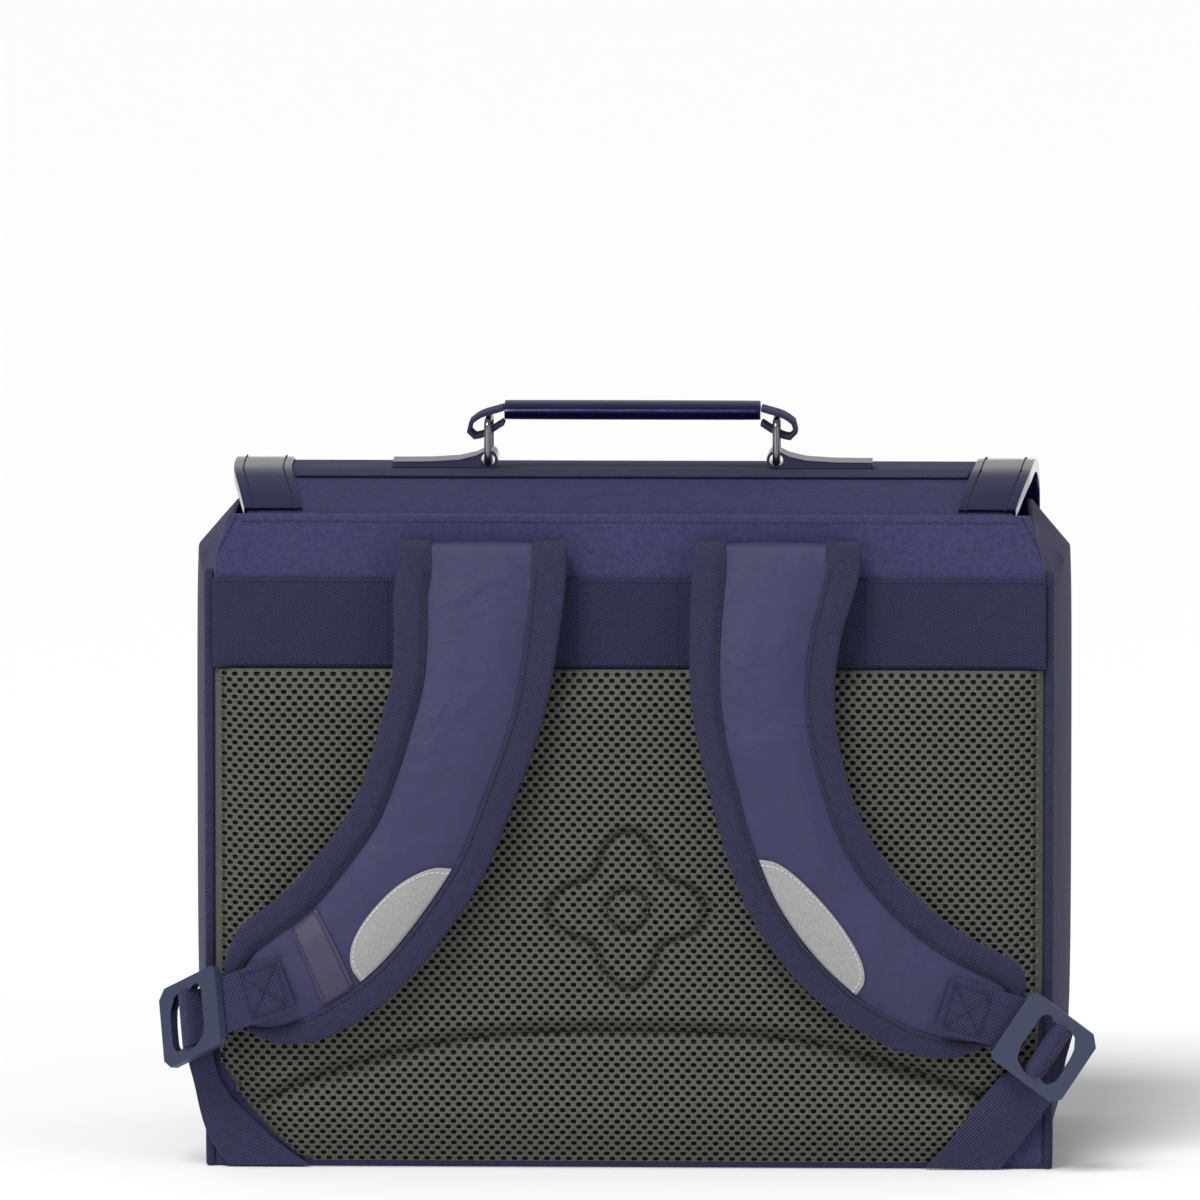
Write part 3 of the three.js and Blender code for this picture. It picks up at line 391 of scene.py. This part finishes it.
def build_pad():
    # A brick cell's corners, its two long edges split where the next row's cells meet
    cell = np.array([[1, 1], [0, 1], [-1, 1], [-1, -1], [0, -1], [1, -1]], float)
    cell *= (HOLE_PITCH_X / 2, HOLE_PITCH_Z / 2)
    hole = np.array([[0.8, 0.62], [0, 1], [-0.8, 0.62], [-0.8, -0.62], [0, -1], [0.8, -0.62]])
    hole *= HOLE_HALF
    rows = int((PAD_TOP - PAD_BOTTOM) / HOLE_PITCH_Z)
    columns = int(2 * PAD_HALF / HOLE_PITCH_X)
    points, faces, which = [], [], []
    for row in range(rows):
        z = PAD_BOTTOM + (row + 0.5) * HOLE_PITCH_Z
        half = float(pad_half(np.array(z)))
        for column in range(columns + 1):
            x = (column - columns / 2 + (0.5 if row % 2 else 0)) * HOLE_PITCH_X
            if abs(x) > half - HOLE_PITCH_X * 0.4:
                continue
            outer = cell + (x, z)
            ring = hole + (x, z)
            start = len(points)
            for ring_points, sink in ((outer, 0), (ring, HOLE_DIP), (ring, HOLE_DEPTH)):
                layer = pad_face(ring_points[:, 0], ring_points[:, 1]) - sink
                points.extend(place_mm(ring_points[:, 0], layer, ring_points[:, 1]))
            # The knit takes index 0; each hole's inner wall and floor take index 1, the painted hole
            # shade
            for i in range(6):
                j = (i + 1) % 6
                faces.append((start + j, start + i, start + 6 + i, start + 6 + j))
                faces.append((start + 6 + j, start + 6 + i, start + 12 + i, start + 12 + j))
                which += [0, 1]
            faces.append(tuple(start + 17 - i for i in range(6)))
            which.append(1)
    return points, faces, which


mesh_cloth = pad_mesh_material()
hole_painted_shade = painted_hole_shade_material()
pad_points, pad_faces, pad_which = build_pad()
# The foam under the mesh closes the pad's sides and back
base = bmesh.new()
base.from_mesh(nodes["back_pad"].data)
bmesh.ops.remove_doubles(base, verts=base.verts, dist=0.005 * MM)
bmesh.ops.subdivide_edges(base, edges=base.edges[:], cuts=2, use_grid_fill=True)
offset = len(pad_points)
for vertex in base.verts:
    x = (vertex.co.x - MIDDLE_X) / MM
    z = vertex.co.z / MM
    layer = (BACK_Y - vertex.co.y) / MM
    if layer > PAD_GAP + 0.2:
        layer = min(layer, float(pad_face(np.array(x), np.array(z))))
        sink = MESH_THICKNESS + FOAM_SINK * min(1, layer / PAD_THICKNESS) ** 3
        layer = max(PAD_GAP + 0.1, layer - sink)
    pad_points.append(place_mm(x, layer, z))
base.verts.ensure_lookup_table()
for face in base.faces:
    pad_faces.append(tuple(offset + v.index for v in face.verts))
    pad_which.append(0)
base.free()
pad = mesh_piece("mesh_pad", pad_points, pad_faces, [mesh_cloth, hole_painted_shade], pad_which)
weld = bmesh.new()
weld.from_mesh(pad.data)
bmesh.ops.remove_doubles(weld, verts=weld.verts, dist=0.01 * MM)
weld.to_mesh(pad.data)
weld.free()
finish_piece(pad, "mesh", "back_pad")

# The stitches
# Every seam is a row of single thread stitches, a little proud of the cloth.


def build_stitch_tree():
    tree = bpy.data.node_groups.new("stitch_row", "GeometryNodeTree")
    face = tree.interface
    face.new_socket("Geometry", in_out="INPUT", socket_type="NodeSocketGeometry")
    for name in ("Pitch", "Length", "Radius"):
        face.new_socket(name, in_out="INPUT", socket_type="NodeSocketFloat")
    face.new_socket("Thread", in_out="INPUT", socket_type="NodeSocketMaterial")
    face.new_socket("Geometry", in_out="OUTPUT", socket_type="NodeSocketGeometry")
    inside = tree.nodes.new("NodeGroupInput")
    outside = tree.nodes.new("NodeGroupOutput")
    line = tree.nodes.new("GeometryNodeMeshToCurve")
    spread = tree.nodes.new("GeometryNodeCurveToPoints")
    spread.mode = "LENGTH"
    thread = tree.nodes.new("GeometryNodeMeshCylinder")
    thread.inputs["Vertices"].default_value = 5
    copies = tree.nodes.new("GeometryNodeInstanceOnPoints")
    real = tree.nodes.new("GeometryNodeRealizeInstances")
    paint = tree.nodes.new("GeometryNodeSetMaterial")
    tree.links.new(inside.outputs["Geometry"], line.inputs[0])
    tree.links.new(line.outputs[0], spread.inputs["Curve"])
    tree.links.new(inside.outputs["Pitch"], spread.inputs["Length"])
    tree.links.new(spread.outputs["Points"], copies.inputs["Points"])
    tree.links.new(spread.outputs["Rotation"], copies.inputs["Rotation"])
    tree.links.new(inside.outputs["Radius"], thread.inputs["Radius"])
    tree.links.new(inside.outputs["Length"], thread.inputs["Depth"])
    tree.links.new(thread.outputs["Mesh"], copies.inputs["Instance"])
    tree.links.new(copies.outputs[0], real.inputs[0])
    tree.links.new(real.outputs[0], paint.inputs["Geometry"])
    tree.links.new(inside.outputs["Thread"], paint.inputs["Material"])
    tree.links.new(paint.outputs[0], outside.inputs[0])
    return tree


stitch_tree = build_stitch_tree()


def thread_material(name, colour):
    material, tree, shader = new_material(name)
    mottled(tree, shader, 900, 2, [c * 0.6 for c in colour], [c * 1.4 for c in colour])
    shader.inputs["Roughness"].default_value = 0.7
    return material


navy_thread = thread_material("navy_thread", (0.008, 0.008, 0.03))
black_thread = thread_material("black_thread", (0.004, 0.004, 0.006))
pale_thread = thread_material("pale_thread", (0.55, 0.55, 0.55))


def stitches(name, lines, thread, pitch=2.8, length=2.0, radius=0.28):
    """Rows of stitches along lines of points given in metres."""
    points, edges = [], []
    for line in lines:
        start = len(points)
        points.extend(tuple(p) for p in line)
        edges.extend((start + i, start + i + 1) for i in range(len(line) - 1))
    mesh = bpy.data.meshes.new(name)
    mesh.from_pydata(points, edges, [])
    piece = bpy.data.objects.new(name, mesh)
    bpy.context.scene.collection.objects.link(piece)
    modifier = piece.modifiers.new("stitches", "NODES")
    modifier.node_group = stitch_tree
    wanted = {"Pitch": pitch * MM, "Length": length * MM, "Radius": radius * MM, "Thread": thread}
    for socket in stitch_tree.interface.items_tree:
        if socket.in_out == "INPUT" and socket.name in wanted:
            modifier[socket.identifier] = wanted[socket.name]
    bpy.context.view_layer.update()
    graph = bpy.context.evaluated_depsgraph_get()
    result = bpy.data.meshes.new_from_object(piece.evaluated_get(graph))
    piece.modifiers.clear()
    piece.data = result
    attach(piece, "root")
    return piece


def pad_line(xs, zs, lift=0.35):
    xs = np.asarray(xs, float)
    zs = np.asarray(zs, float)
    return place_mm(xs, pad_face(xs, zs) + lift, zs)


arch_x = np.linspace(-160, 160, 120)
turns = np.linspace(0, 2 * np.pi, 140)
lobes = QUILT["radius"] + QUILT["lobe"] * np.cos(4 * turns)
stitches("pad_seams", [
    pad_line(arch_x, arch_height(arch_x)),
    pad_line(lobes * np.cos(turns), QUILT["z"] + lobes * np.sin(turns)),
    pad_line(QUILT["eye"] * np.cos(turns), QUILT["z"] + QUILT["eye"] * np.sin(turns)),
], black_thread, pitch=3.2, length=2.7, radius=0.55)

# The yoke and the wide band
# The top of the back is plain cloth with a turned hem, and a band of ribbed webbing is sewn
# over its lower edge, with a cross seam beside each strap.
ribbed_band = cloth("ribbed_band", (0.0004, 0.0004, 0.004), (0.015, 0.016, 0.098), (0.82, 0.75),
                    bump=1.0, slub=0.4)
refined("back_yoke", "yoke_cloth", body_cloth, "fabric", levels=1)
refined("back_band", "band_webbing", ribbed_band, "webbing", levels=1)
yoke_low, yoke_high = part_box("back_yoke")
band_low, band_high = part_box("back_band")
yoke_face = (BACK_Y - yoke_low.y) / MM + 0.15
band_face = (BACK_Y - band_low.y) / MM + 0.1
YOKE_TOP = yoke_high.z / MM
BAND_SPAN = (band_low.z / MM, band_high.z / MM)
BACK_HALF = PAD_HALF + 1


def flat_line(ends, layer):
    (x0, z0), (x1, z1) = ends
    return place_mm([x0, x1], [layer, layer], [z0, z1])


stitches("yoke_seams", [
    flat_line(((-BACK_HALF + 14, YOKE_TOP - 3), (BACK_HALF - 14, YOKE_TOP - 3)), yoke_face),
    flat_line(((-BACK_HALF + 10, YOKE_TOP - 2), (-BACK_HALF + 3, PAD_TOP + 52)), yoke_face),
    flat_line(((BACK_HALF - 10, YOKE_TOP - 2), (BACK_HALF - 3, PAD_TOP + 52)), yoke_face),
], navy_thread)
stitches("band_seams", [
    flat_line(((x, BAND_SPAN[0] + 1), (x, BAND_SPAN[1] - 1)), band_face)
    for x in (-105, -22, 21, 103)
] + [flat_line(((-BACK_HALF + 2, z), (BACK_HALF - 2, z)), band_face)
     for z in (BAND_SPAN[0] + 1.2, BAND_SPAN[1] - 1.2)], navy_thread)

# The shoulder straps
# Each is foam in smooth nylon, bound along both edges with twill tape. It is sewn in under
# the band, folds forward at its top and sweeps out towards the lower corner.
STRAP_EDGE = 3.6
STRAP_GAP = 0.3
TWILL = 1.0
STRAP_TOP = [(262, 5.9), (267, 6.1), (271, 7.9), (272.8, 11), (270.6, 13.8)]
STRAP_FOLD = 4.6
# Rows of outer x, outer z, inner x, inner z, distance off the back and thickness
STRAPS = {
    "left": [
        (99, 262, 28, 262, 15.3, 7), (100.5, 251, 29, 250, 17.2, 8.5), (100, 234, 31.5, 232, 20, 9.5),
        (101, 216, 35, 210, 22.5, 9.5), (105, 200, 41, 188, 24, 9.5), (110.5, 180.5, 50, 164, 25, 9.5),
        (119, 159, 62, 134, 25, 9.5), (131, 142, 76, 111, 24, 9.5), (143, 127, 93, 89, 22.5, 9.5),
        (152, 119, 108, 74.5, 21, 9.5), (161, 112, 121, 65.5, 19.4, 9),
        (168.5, 105, 134.5, 59, 17.8, 8), (174, 93, 147, 57, 16.6, 7),
        (174.5, 83, 157, 58.5, 15.9, 6.4), (173, 74, 165, 62, 15.8, 6)],
    "right": [
        (99, 262, 29, 262, 15.3, 7), (96, 251, 28.5, 252, 17.2, 8.5), (91, 234, 28, 234, 20, 9.5),
        (88.5, 214, 28.5, 211, 22.5, 9.5), (89.5, 194, 31.5, 190, 24, 9.5), (94, 173.5, 37, 167, 25, 9.5),
        (101, 154, 44, 141, 25, 9.5), (110, 138, 54, 115, 24, 9.5), (121, 125, 70, 91, 22.5, 9.5),
        (135, 112, 88, 73, 21, 9.5), (148, 103, 104, 62.5, 19.6, 9.2),
        (160, 96.5, 118, 55.5, 18, 8.5), (169, 91, 132, 52.2, 16.8, 7.5),
        (172, 82, 144, 52.5, 16, 6.6), (169, 72, 154, 56, 15.8, 6)],
}
strap_nylon = cloth("strap_nylon", (0.006, 0.005, 0.03), (0.028, 0.024, 0.112), (0.42, 0.42), twill=0.5,
                    slub=0.6, bump=0.3, roughness=0.6, sheen=0.06, crease=0.55)


class StrapPath:
    """Smooth edges, normal and thickness along one strap, at any place counted in rows."""

    def __init__(self, side):
        table = STRAPS[side]
        sign = -1 if side == "left" else 1
        first = table[0]
        rows = [(first[0], z, first[2], z, layer, STRAP_FOLD) for z, layer in STRAP_TOP] + table
        rows = np.array(rows, float)
        self.sign = sign
        self.outer = place_mm(sign * rows[:, 0], rows[:, 4], rows[:, 1])
        self.inner = place_mm(sign * rows[:, 2], rows[:, 4], rows[:, 3])
        self.thick = rows[:, 5]
        self.last = len(rows) - 1

    def blend(self, values, place):
        place = min(max(place, 0.0), self.last - 1e-6)
        k = int(place)
        t = place - k
        a, b = values[max(k - 1, 0)], values[k]
        c, d = values[k + 1], values[min(k + 2, self.last)]
        return 0.5 * (2 * b + (c - a) * t + (2 * a - 5 * b + 4 * c - d) * t ** 2
                      + (3 * b - a - 3 * c + d) * t ** 3)

    def at(self, place):
        outer = self.blend(self.outer, place)
        inner = self.blend(self.inner, place)
        step = 0.05
        ahead, behind = min(place + step, self.last), max(place - step, 0)
        along = (self.blend(self.outer, ahead) + self.blend(self.inner, ahead)
                 - self.blend(self.outer, behind) - self.blend(self.inner, behind))
        normal = np.cross(along, outer - inner) * self.sign
        return outer, inner, normal / np.linalg.norm(normal), float(self.blend(self.thick, place))

    def half_thickness(self, place, share):
        thick = self.at(place)[3]
        crown = max(0.0, thick / 2 - STRAP_EDGE / 2)
        inward = min(1.0, max(0.0, (0.62 - abs(share)) / 0.46))
        return STRAP_EDGE / 2 + crown * math.sin(math.pi / 2 * inward)

    def point(self, place, share, lift):
        outer, inner, normal, _ = self.at(place)
        return inner + (outer - inner) * (share + 1) / 2 + normal * lift * MM


def wall_piece(name, rows, materials):
    """A closed wall; each row gives its outer points and then as many inner points."""
    rows = [np.asarray(row) for row in rows]
    count = len(rows[0]) // 2
    points = np.concatenate(rows)
    faces = []
    last = len(rows) - 1

    def outer(row, i):
        return row * 2 * count + i

    def inner(row, i):
        return outer(row, i) + count

    for row in range(last):
        for i in range(count - 1):
            faces.append((outer(row, i), outer(row, i + 1), outer(row + 1, i + 1), outer(row + 1, i)))
            faces.append((inner(row, i), inner(row + 1, i), inner(row + 1, i + 1), inner(row, i + 1)))
        end = count - 1
        faces.append((outer(row, 0), outer(row + 1, 0), inner(row + 1, 0), inner(row, 0)))
        faces.append((outer(row, end), inner(row, end), inner(row + 1, end), outer(row + 1, end)))
    for i in range(count - 1):
        faces.append((outer(0, i), inner(0, i), inner(0, i + 1), outer(0, i + 1)))
        faces.append((outer(last, i), outer(last, i + 1), inner(last, i + 1), inner(last, i)))
    piece = mesh_piece(name, points, faces, materials)
    shape = bmesh.new()
    shape.from_mesh(piece.data)
    if shape.calc_volume(signed=True) < 0:
        bmesh.ops.reverse_faces(shape, faces=shape.faces)
    shape.to_mesh(piece.data)
    shape.free()
    return piece


def strap_body(path, side):
    shares = np.concatenate([[-1], np.linspace(-0.62, 0.62, 15), [1]])
    rows = []
    for place in np.linspace(0, path.last, 90):
        thick = [path.half_thickness(place, u) for u in shares]
        top = [path.point(place, u, h) for u, h in zip(shares, thick)]
        bottom = [path.point(place, u, -h) for u, h in zip(shares, thick)]
        rows.append(top + bottom)
    piece = wall_piece(f"strap_{side}_cloth", rows, [strap_nylon])
    finish_piece(piece, "fabric", f"strap_{side}")


def strap_tape(path, side, edge, name):
    rows = []
    under = STRAP_EDGE / 2 + STRAP_GAP * 0.5
    for place in np.linspace(0, path.last, 100):
        outer, inner, normal, _ = path.at(place)
        width = np.linalg.norm(outer - inner) / MM

        def out(distance):
            return edge * (1 + 2 * distance / width)

        inset = edge * 0.62
        reach = STRAP_GAP + TWILL
        wave = 0.12 * math.sin(place * 21)
        profile = [(inset, under + TWILL * 0.75), (edge * 0.8, under + TWILL + wave),
                   (out(-0.4), under + TWILL), (out(reach * 0.75), under + TWILL * 0.5), (out(reach), 0)]
        over = profile + [(u, -h) for u, h in profile[-2::-1]]
        within = [(inset, under), (edge * 0.8, under), (out(-0.5), under), (out(0), under * 0.9),
                  (out(STRAP_GAP * 0.5), 0)]
        within = within + [(u, -h) for u, h in within[-2::-1]]
        rows.append([path.point(place, u, h) for u, h in over]
                    + [path.point(place, u, h) for u, h in within])
    piece = wall_piece(name, rows, [twill_tape])
    finish_piece(piece, "twill", f"strap_binding_{side}_{'outer' if edge > 0 else 'inner'}")


strap_paths = {side: StrapPath(side) for side in ("left", "right")}
for side, path in strap_paths.items():
    strap_body(path, side)
    for edge, label in ((-1, "inner"), (1, "outer")):
        strap_tape(path, side, edge, f"strap_{side}_tape_{label}")
    lines = [[path.point(place, edge * 0.665, STRAP_EDGE / 2 + TWILL + 0.25)
              for place in np.linspace(5, path.last, 110)] for edge in (-1, 1)]
    stitches(f"strap_{side}_seams", lines, navy_thread, pitch=2.9, length=2.1)

# The reflectors and the plain strip
# A half-moon of grey reflecting cloth lies along each strap's inner tape, and a strip of glossy
# sheet is sewn across the left strap. The strip is left bare.
REFLECTORS = {"left": (11.2, 13.9), "right": (11.2, 14.1)}
REFLECTOR_DEEP = 0.58
PATCH_LIFT = 0.5


def grey_reflector():
    material, tree, shader = new_material("reflecting_cloth")
    mottled(tree, shader, 1200, 2, (0.16, 0.16, 0.16), (0.36, 0.36, 0.36))
    shader.inputs["Roughness"].default_value = 0.55
    return material


def patch_piece(path, name, grid, thickness, material):
    rows = []
    for row in grid:
        lifts = [path.half_thickness(place, share) + PATCH_LIFT for place, share in row]
        top = [path.point(p, u, h + thickness) for (p, u), h in zip(row, lifts)]
        bottom = [path.point(p, u, h - 0.3) for (p, u), h in zip(row, lifts)]
        rows.append(top + bottom)
    return wall_piece(name, rows, [material])


reflecting = grey_reflector()
for side, path in strap_paths.items():
    start, end = REFLECTORS[side]
    middle = (start + end) / 2
    grid, seam = [], []
    for v in np.linspace(-0.999, 0.999, 40):
        reach = REFLECTOR_DEEP * math.sqrt(1 - v * v)
        place = middle + v * (end - start) / 2
        grid.append([(place, -0.6 + reach * w) for w in np.linspace(0, 1, 12)])
        seam.append((middle + v * 0.93 * (end - start) / 2, -0.6 + reach * 0.95))
    piece = patch_piece(path, f"reflector_{side}_cloth", grid, 0.4, reflecting)
    finish_piece(piece, "reflector", f"reflector_{side}")
    lines = [[path.point(p, u, path.half_thickness(p, u) + PATCH_LIFT + 0.5) for p, u in seam]]
    stitches(f"reflector_{side}_seam", lines, pale_thread, pitch=2.2, length=1.5,
             radius=0.22)


def glossy(name, colour, roughness, wave, coat, scale=60):
    material, tree, shader = new_material(name)
    crease = mottled(tree, shader, scale, 4, [c * 0.75 for c in colour], [c * 1.25 for c in colour])
    relief_of(tree, shader, crease, wave, 1.0)
    shader.inputs["Roughness"].default_value = roughness
    shader.inputs["Coat Weight"].default_value = coat
    shader.inputs["Coat Roughness"].default_value = 0.06
    shader.inputs["Specular IOR Level"].default_value = 0.2
    return material


strip_gloss = glossy("strip_gloss", (0.042, 0.04, 0.078), roughness=0.35, wave=0.1, coat=0.15)
LABEL = {"outer": 13.2, "inner": 14.1, "wide": 1.1, "side": 0.58}
path = strap_paths["left"]


def label_spot(v, w):
    place = LABEL["outer"] + (LABEL["inner"] - LABEL["outer"]) * w + LABEL["wide"] * v
    return place, LABEL["side"] - 2 * LABEL["side"] * w


grid = [[label_spot(v, w) for w in np.linspace(0, 1, 24)] for v in np.linspace(0, 1, 10)]
finish_piece(patch_piece(path, "bare_strip", grid, 0.4, strip_gloss), "label", "strap_label")
seams = []
for v in (0.1, 0.9):
    spots = [label_spot(v, w) for w in np.linspace(0.02, 0.98, 24)]
    seams.append([path.point(p, u, path.half_thickness(p, u) + PATCH_LIFT + 0.5) for p, u in spots])
stitches("bare_strip_seams", seams, navy_thread, pitch=2.6, length=1.8)

# The webbing and the buckles
# A tab of coarse webbing is box-stitched on each strap's end and runs behind the buckle's
# broad plate. The lower webbing comes up from the corner and doubles over the middle bar.
coarse_webbing = cloth("coarse_webbing", (0.0008, 0.0008, 0.008), (0.03, 0.03, 0.13), (0.85, 0.85),
                       bump=1.0, slub=0.5)


def buckle_plastic():
    material, tree, shader = new_material("slate_plastic")
    relief_of(tree, shader, mottled(tree, shader, 1600, 2), 0.12, 0.2)
    shader.inputs["Base Color"].default_value = (0.018, 0.026, 0.062, 1)
    shader.inputs["Roughness"].default_value = 0.42
    return material


slate = buckle_plastic()
for side in ("left", "right"):
    refined(f"strap_tab_{side}", f"tab_webbing_{side}", coarse_webbing, "webbing", edge=0.4)
    refined(f"lower_webbing_{side}", f"corner_webbing_{side}", coarse_webbing, "webbing", edge=0.4)
    refined(f"buckle_{side}", f"ladder_buckle_{side}", slate, "buckle", edge=1.1)


def surface_of(node):
    """A search tree of a frame node's surface."""
    mesh = nodes[node].data
    corners = [vertex.co.copy() for vertex in mesh.vertices]
    return BVHTree.FromPolygons(corners, [tuple(face.vertices) for face in mesh.polygons])


def draped(node, corners, lift, steps=24):
    """A line through x, z corners in millimetres, laid on a node's face as the wearer sees it."""
    surface = surface_of(node)
    line = []
    for (x0, z0), (x1, z1) in zip(corners, corners[1:]):
        for t in np.linspace(0, 1, steps):
            x = MIDDLE_X + (x0 + (x1 - x0) * t) * MM
            z = (z0 + (z1 - z0) * t) * MM
            hit = surface.ray_cast(Vector((x, -1, z)), Vector((0, 1, 0)))[0]
            if hit is not None:
                line.append(hit + Vector((0, -lift * MM, 0)))
    return line


# Where each tab starts and where it meets the buckle
TABS = {"left": ((-147.5, 84), (-176.6, 74.8)), "right": ((137, 76), (166.2, 67.6))}
for side, (start, end) in TABS.items():
    start, end = np.array(start), np.array(end)
    along = (end - start) / np.linalg.norm(end - start)
    across = np.array((-along[1], along[0])) * 9.6
    near, far = start + along * 2.6, start + along * 19
    box = [near + across, near - across, far - across, far + across]
    node = f"strap_tab_{side}"
    lines = [draped(node, [box[0], box[1], box[2], box[3], box[0]], 0.35),
             draped(node, [box[0], box[2]], 0.35), draped(node, [box[1], box[3]], 0.35)]
    stitches(f"tab_{side}_seams", lines, navy_thread, pitch=2.5, length=1.9, radius=0.3)

# The flap
# The flap is stiffened cloth sewn to the back's top seam. It runs over the crest and down the
# front, with a strip of twill across its crest and glossy strips folded round its side edges.
flap_cloth = cloth("flap_cloth", NAVY_DARK, (0.027, 0.027, 0.125), (0.7, 0.7),
                   facing=((1, 0, 0), (0, 1, -0.6)))
patent = glossy("patent_leather", (0.005, 0.005, 0.04), roughness=0.12, wave=0.6, scale=40, coat=0.3)
refined("flap", "flap_cloth", flap_cloth, "fabric", edge=0.8)
refined("crest_strip", "crest_tape", twill_tape, "twill", edge=0.3, levels=1)
for side in ("left", "right"):
    refined(f"flap_trim_{side}", f"flap_edge_{side}", patent, "patent", edge=0.4)
    refined(f"closure_strap_{side}", f"closing_strap_{side}", patent, "patent", edge=0.4, levels=1)
# Distance from the back face, height and half width along the flap's middle line
FLAP_LINE = [(4, 280, 166), (9, 285.5, 166.3), (20, 291, 168.5), (35, 297, 171.5), (45, 299.1, 173),
             (75, 299.1, 174), (110, 298, 175), (140, 294.5, 176), (157, 290, 176.5), (168, 283, 177),
             (174, 273, 177), (175.5, 258, 177), (176.5, 200, 177), (177, 130, 177)]
TRIM_FACE = 3.0
for side, sign in (("left", -1), ("right", 1)):
    rows = np.array(FLAP_LINE, float)
    slope = np.gradient(rows[:, :2], axis=0)
    slope /= np.linalg.norm(slope, axis=1)[:, None]
    lines = []
    for inset in (3, 20.5):
        deep = rows[:, 0] - slope[:, 1] * TRIM_FACE
        high = rows[:, 1] + slope[:, 0] * TRIM_FACE
        line = place_mm(sign * (rows[:, 2] - inset), -deep, high)
        lines.append(line[1:])
    stitches(f"flap_edge_{side}_seams", lines, navy_thread, pitch=3.4, length=2.5, radius=0.3)


def dark_nickel():
    material, tree, shader = new_material("dark_nickel")
    rough = tree.nodes.new("ShaderNodeMapRange")
    rough.inputs["To Min"].default_value = 0.15
    rough.inputs["To Max"].default_value = 0.32
    tree.links.new(mottled(tree, shader, 300, 2), rough.inputs["Value"])
    tree.links.new(rough.outputs["Result"], shader.inputs["Roughness"])
    shader.inputs["Base Color"].default_value = (0.16, 0.165, 0.18, 1)
    shader.inputs["Metallic"].default_value = 1.0
    return material


nickel = dark_nickel()
for side in ("left", "right"):
    refined(f"closure_clasp_{side}", f"clasp_{side}", nickel, "ring", edge=0.8, levels=1)

# The handle
# Smooth glossy leather round a padded core, on webbing that loops round a dark nickel ring at
# each end. Each ring is held on the crest by a folded leather tab.
grip_leather = glossy("grip_leather", (0.002, 0.003, 0.035), roughness=0.2, wave=0.15, scale=90, coat=0.1)
grip = refined("handle_grip", "grip_leather", grip_leather, "patent", edge=0.6, bend=50)
for side in ("left", "right"):
    refined(f"handle_tab_{side}", f"ring_tab_{side}", patent, "patent", edge=0.3, levels=1)
    refined(f"handle_ring_{side}", f"ring_wire_{side}", nickel, "ring", edge=0, levels=1)
    refined(f"handle_web_{side}", f"grip_webbing_{side}", coarse_webbing, "webbing", edge=0.4)

# The studio
# A plain pale floor under a high, broad sun, a pale sky and two large lamps at the front, as in
# the photograph.
floor_mesh = bpy.data.meshes.new("studio_floor")
SPREAD = 30.0
floor_mesh.from_pydata([(-SPREAD, -SPREAD, 0), (SPREAD, -SPREAD, 0), (SPREAD, SPREAD, 0),
                        (-SPREAD, SPREAD, 0)], [], [(0, 1, 2, 3)])
floor = bpy.data.objects.new("studio_floor", floor_mesh)
floor_material, floor_tree, floor_shader = new_material("pale_floor")
floor_shader.inputs["Base Color"].default_value = (0.9, 0.9, 0.9, 1)
floor_shader.inputs["Roughness"].default_value = 0.9
floor_mesh.materials.append(floor_material)
bpy.context.scene.collection.objects.link(floor)
world = bpy.data.worlds.new("studio")
world.use_nodes = True
world.node_tree.nodes["Background"].inputs["Color"].default_value = (1, 1, 1, 1)
world.node_tree.nodes["Background"].inputs["Strength"].default_value = 0.45
bpy.context.scene.world = world
sun = bpy.data.lights.new("high_window", "SUN")
sun.energy = 2.6
sun.angle = math.radians(28)
sun_holder = bpy.data.objects.new("high_window", sun)
sun_holder.rotation_euler = (math.radians(36), 0, math.radians(-28))
bpy.context.scene.collection.objects.link(sun_holder)
LAMPS = [
    ("fill", (1.5, -1.6, 0.9), 7, 1.2),
    ("low_front", (-0.9, -1.9, 0.5), 7, 1.0),
]
for name, spot, power, size in LAMPS:
    lamp = bpy.data.lights.new(name, "AREA")
    lamp.energy = power
    lamp.size = size
    holder = bpy.data.objects.new(name, lamp)
    holder.location = spot
    holder.rotation_euler = (Vector((0, 0, 0.15)) - Vector(spot)).to_track_quat("-Z", "Y").to_euler()
    bpy.context.scene.collection.objects.link(holder)
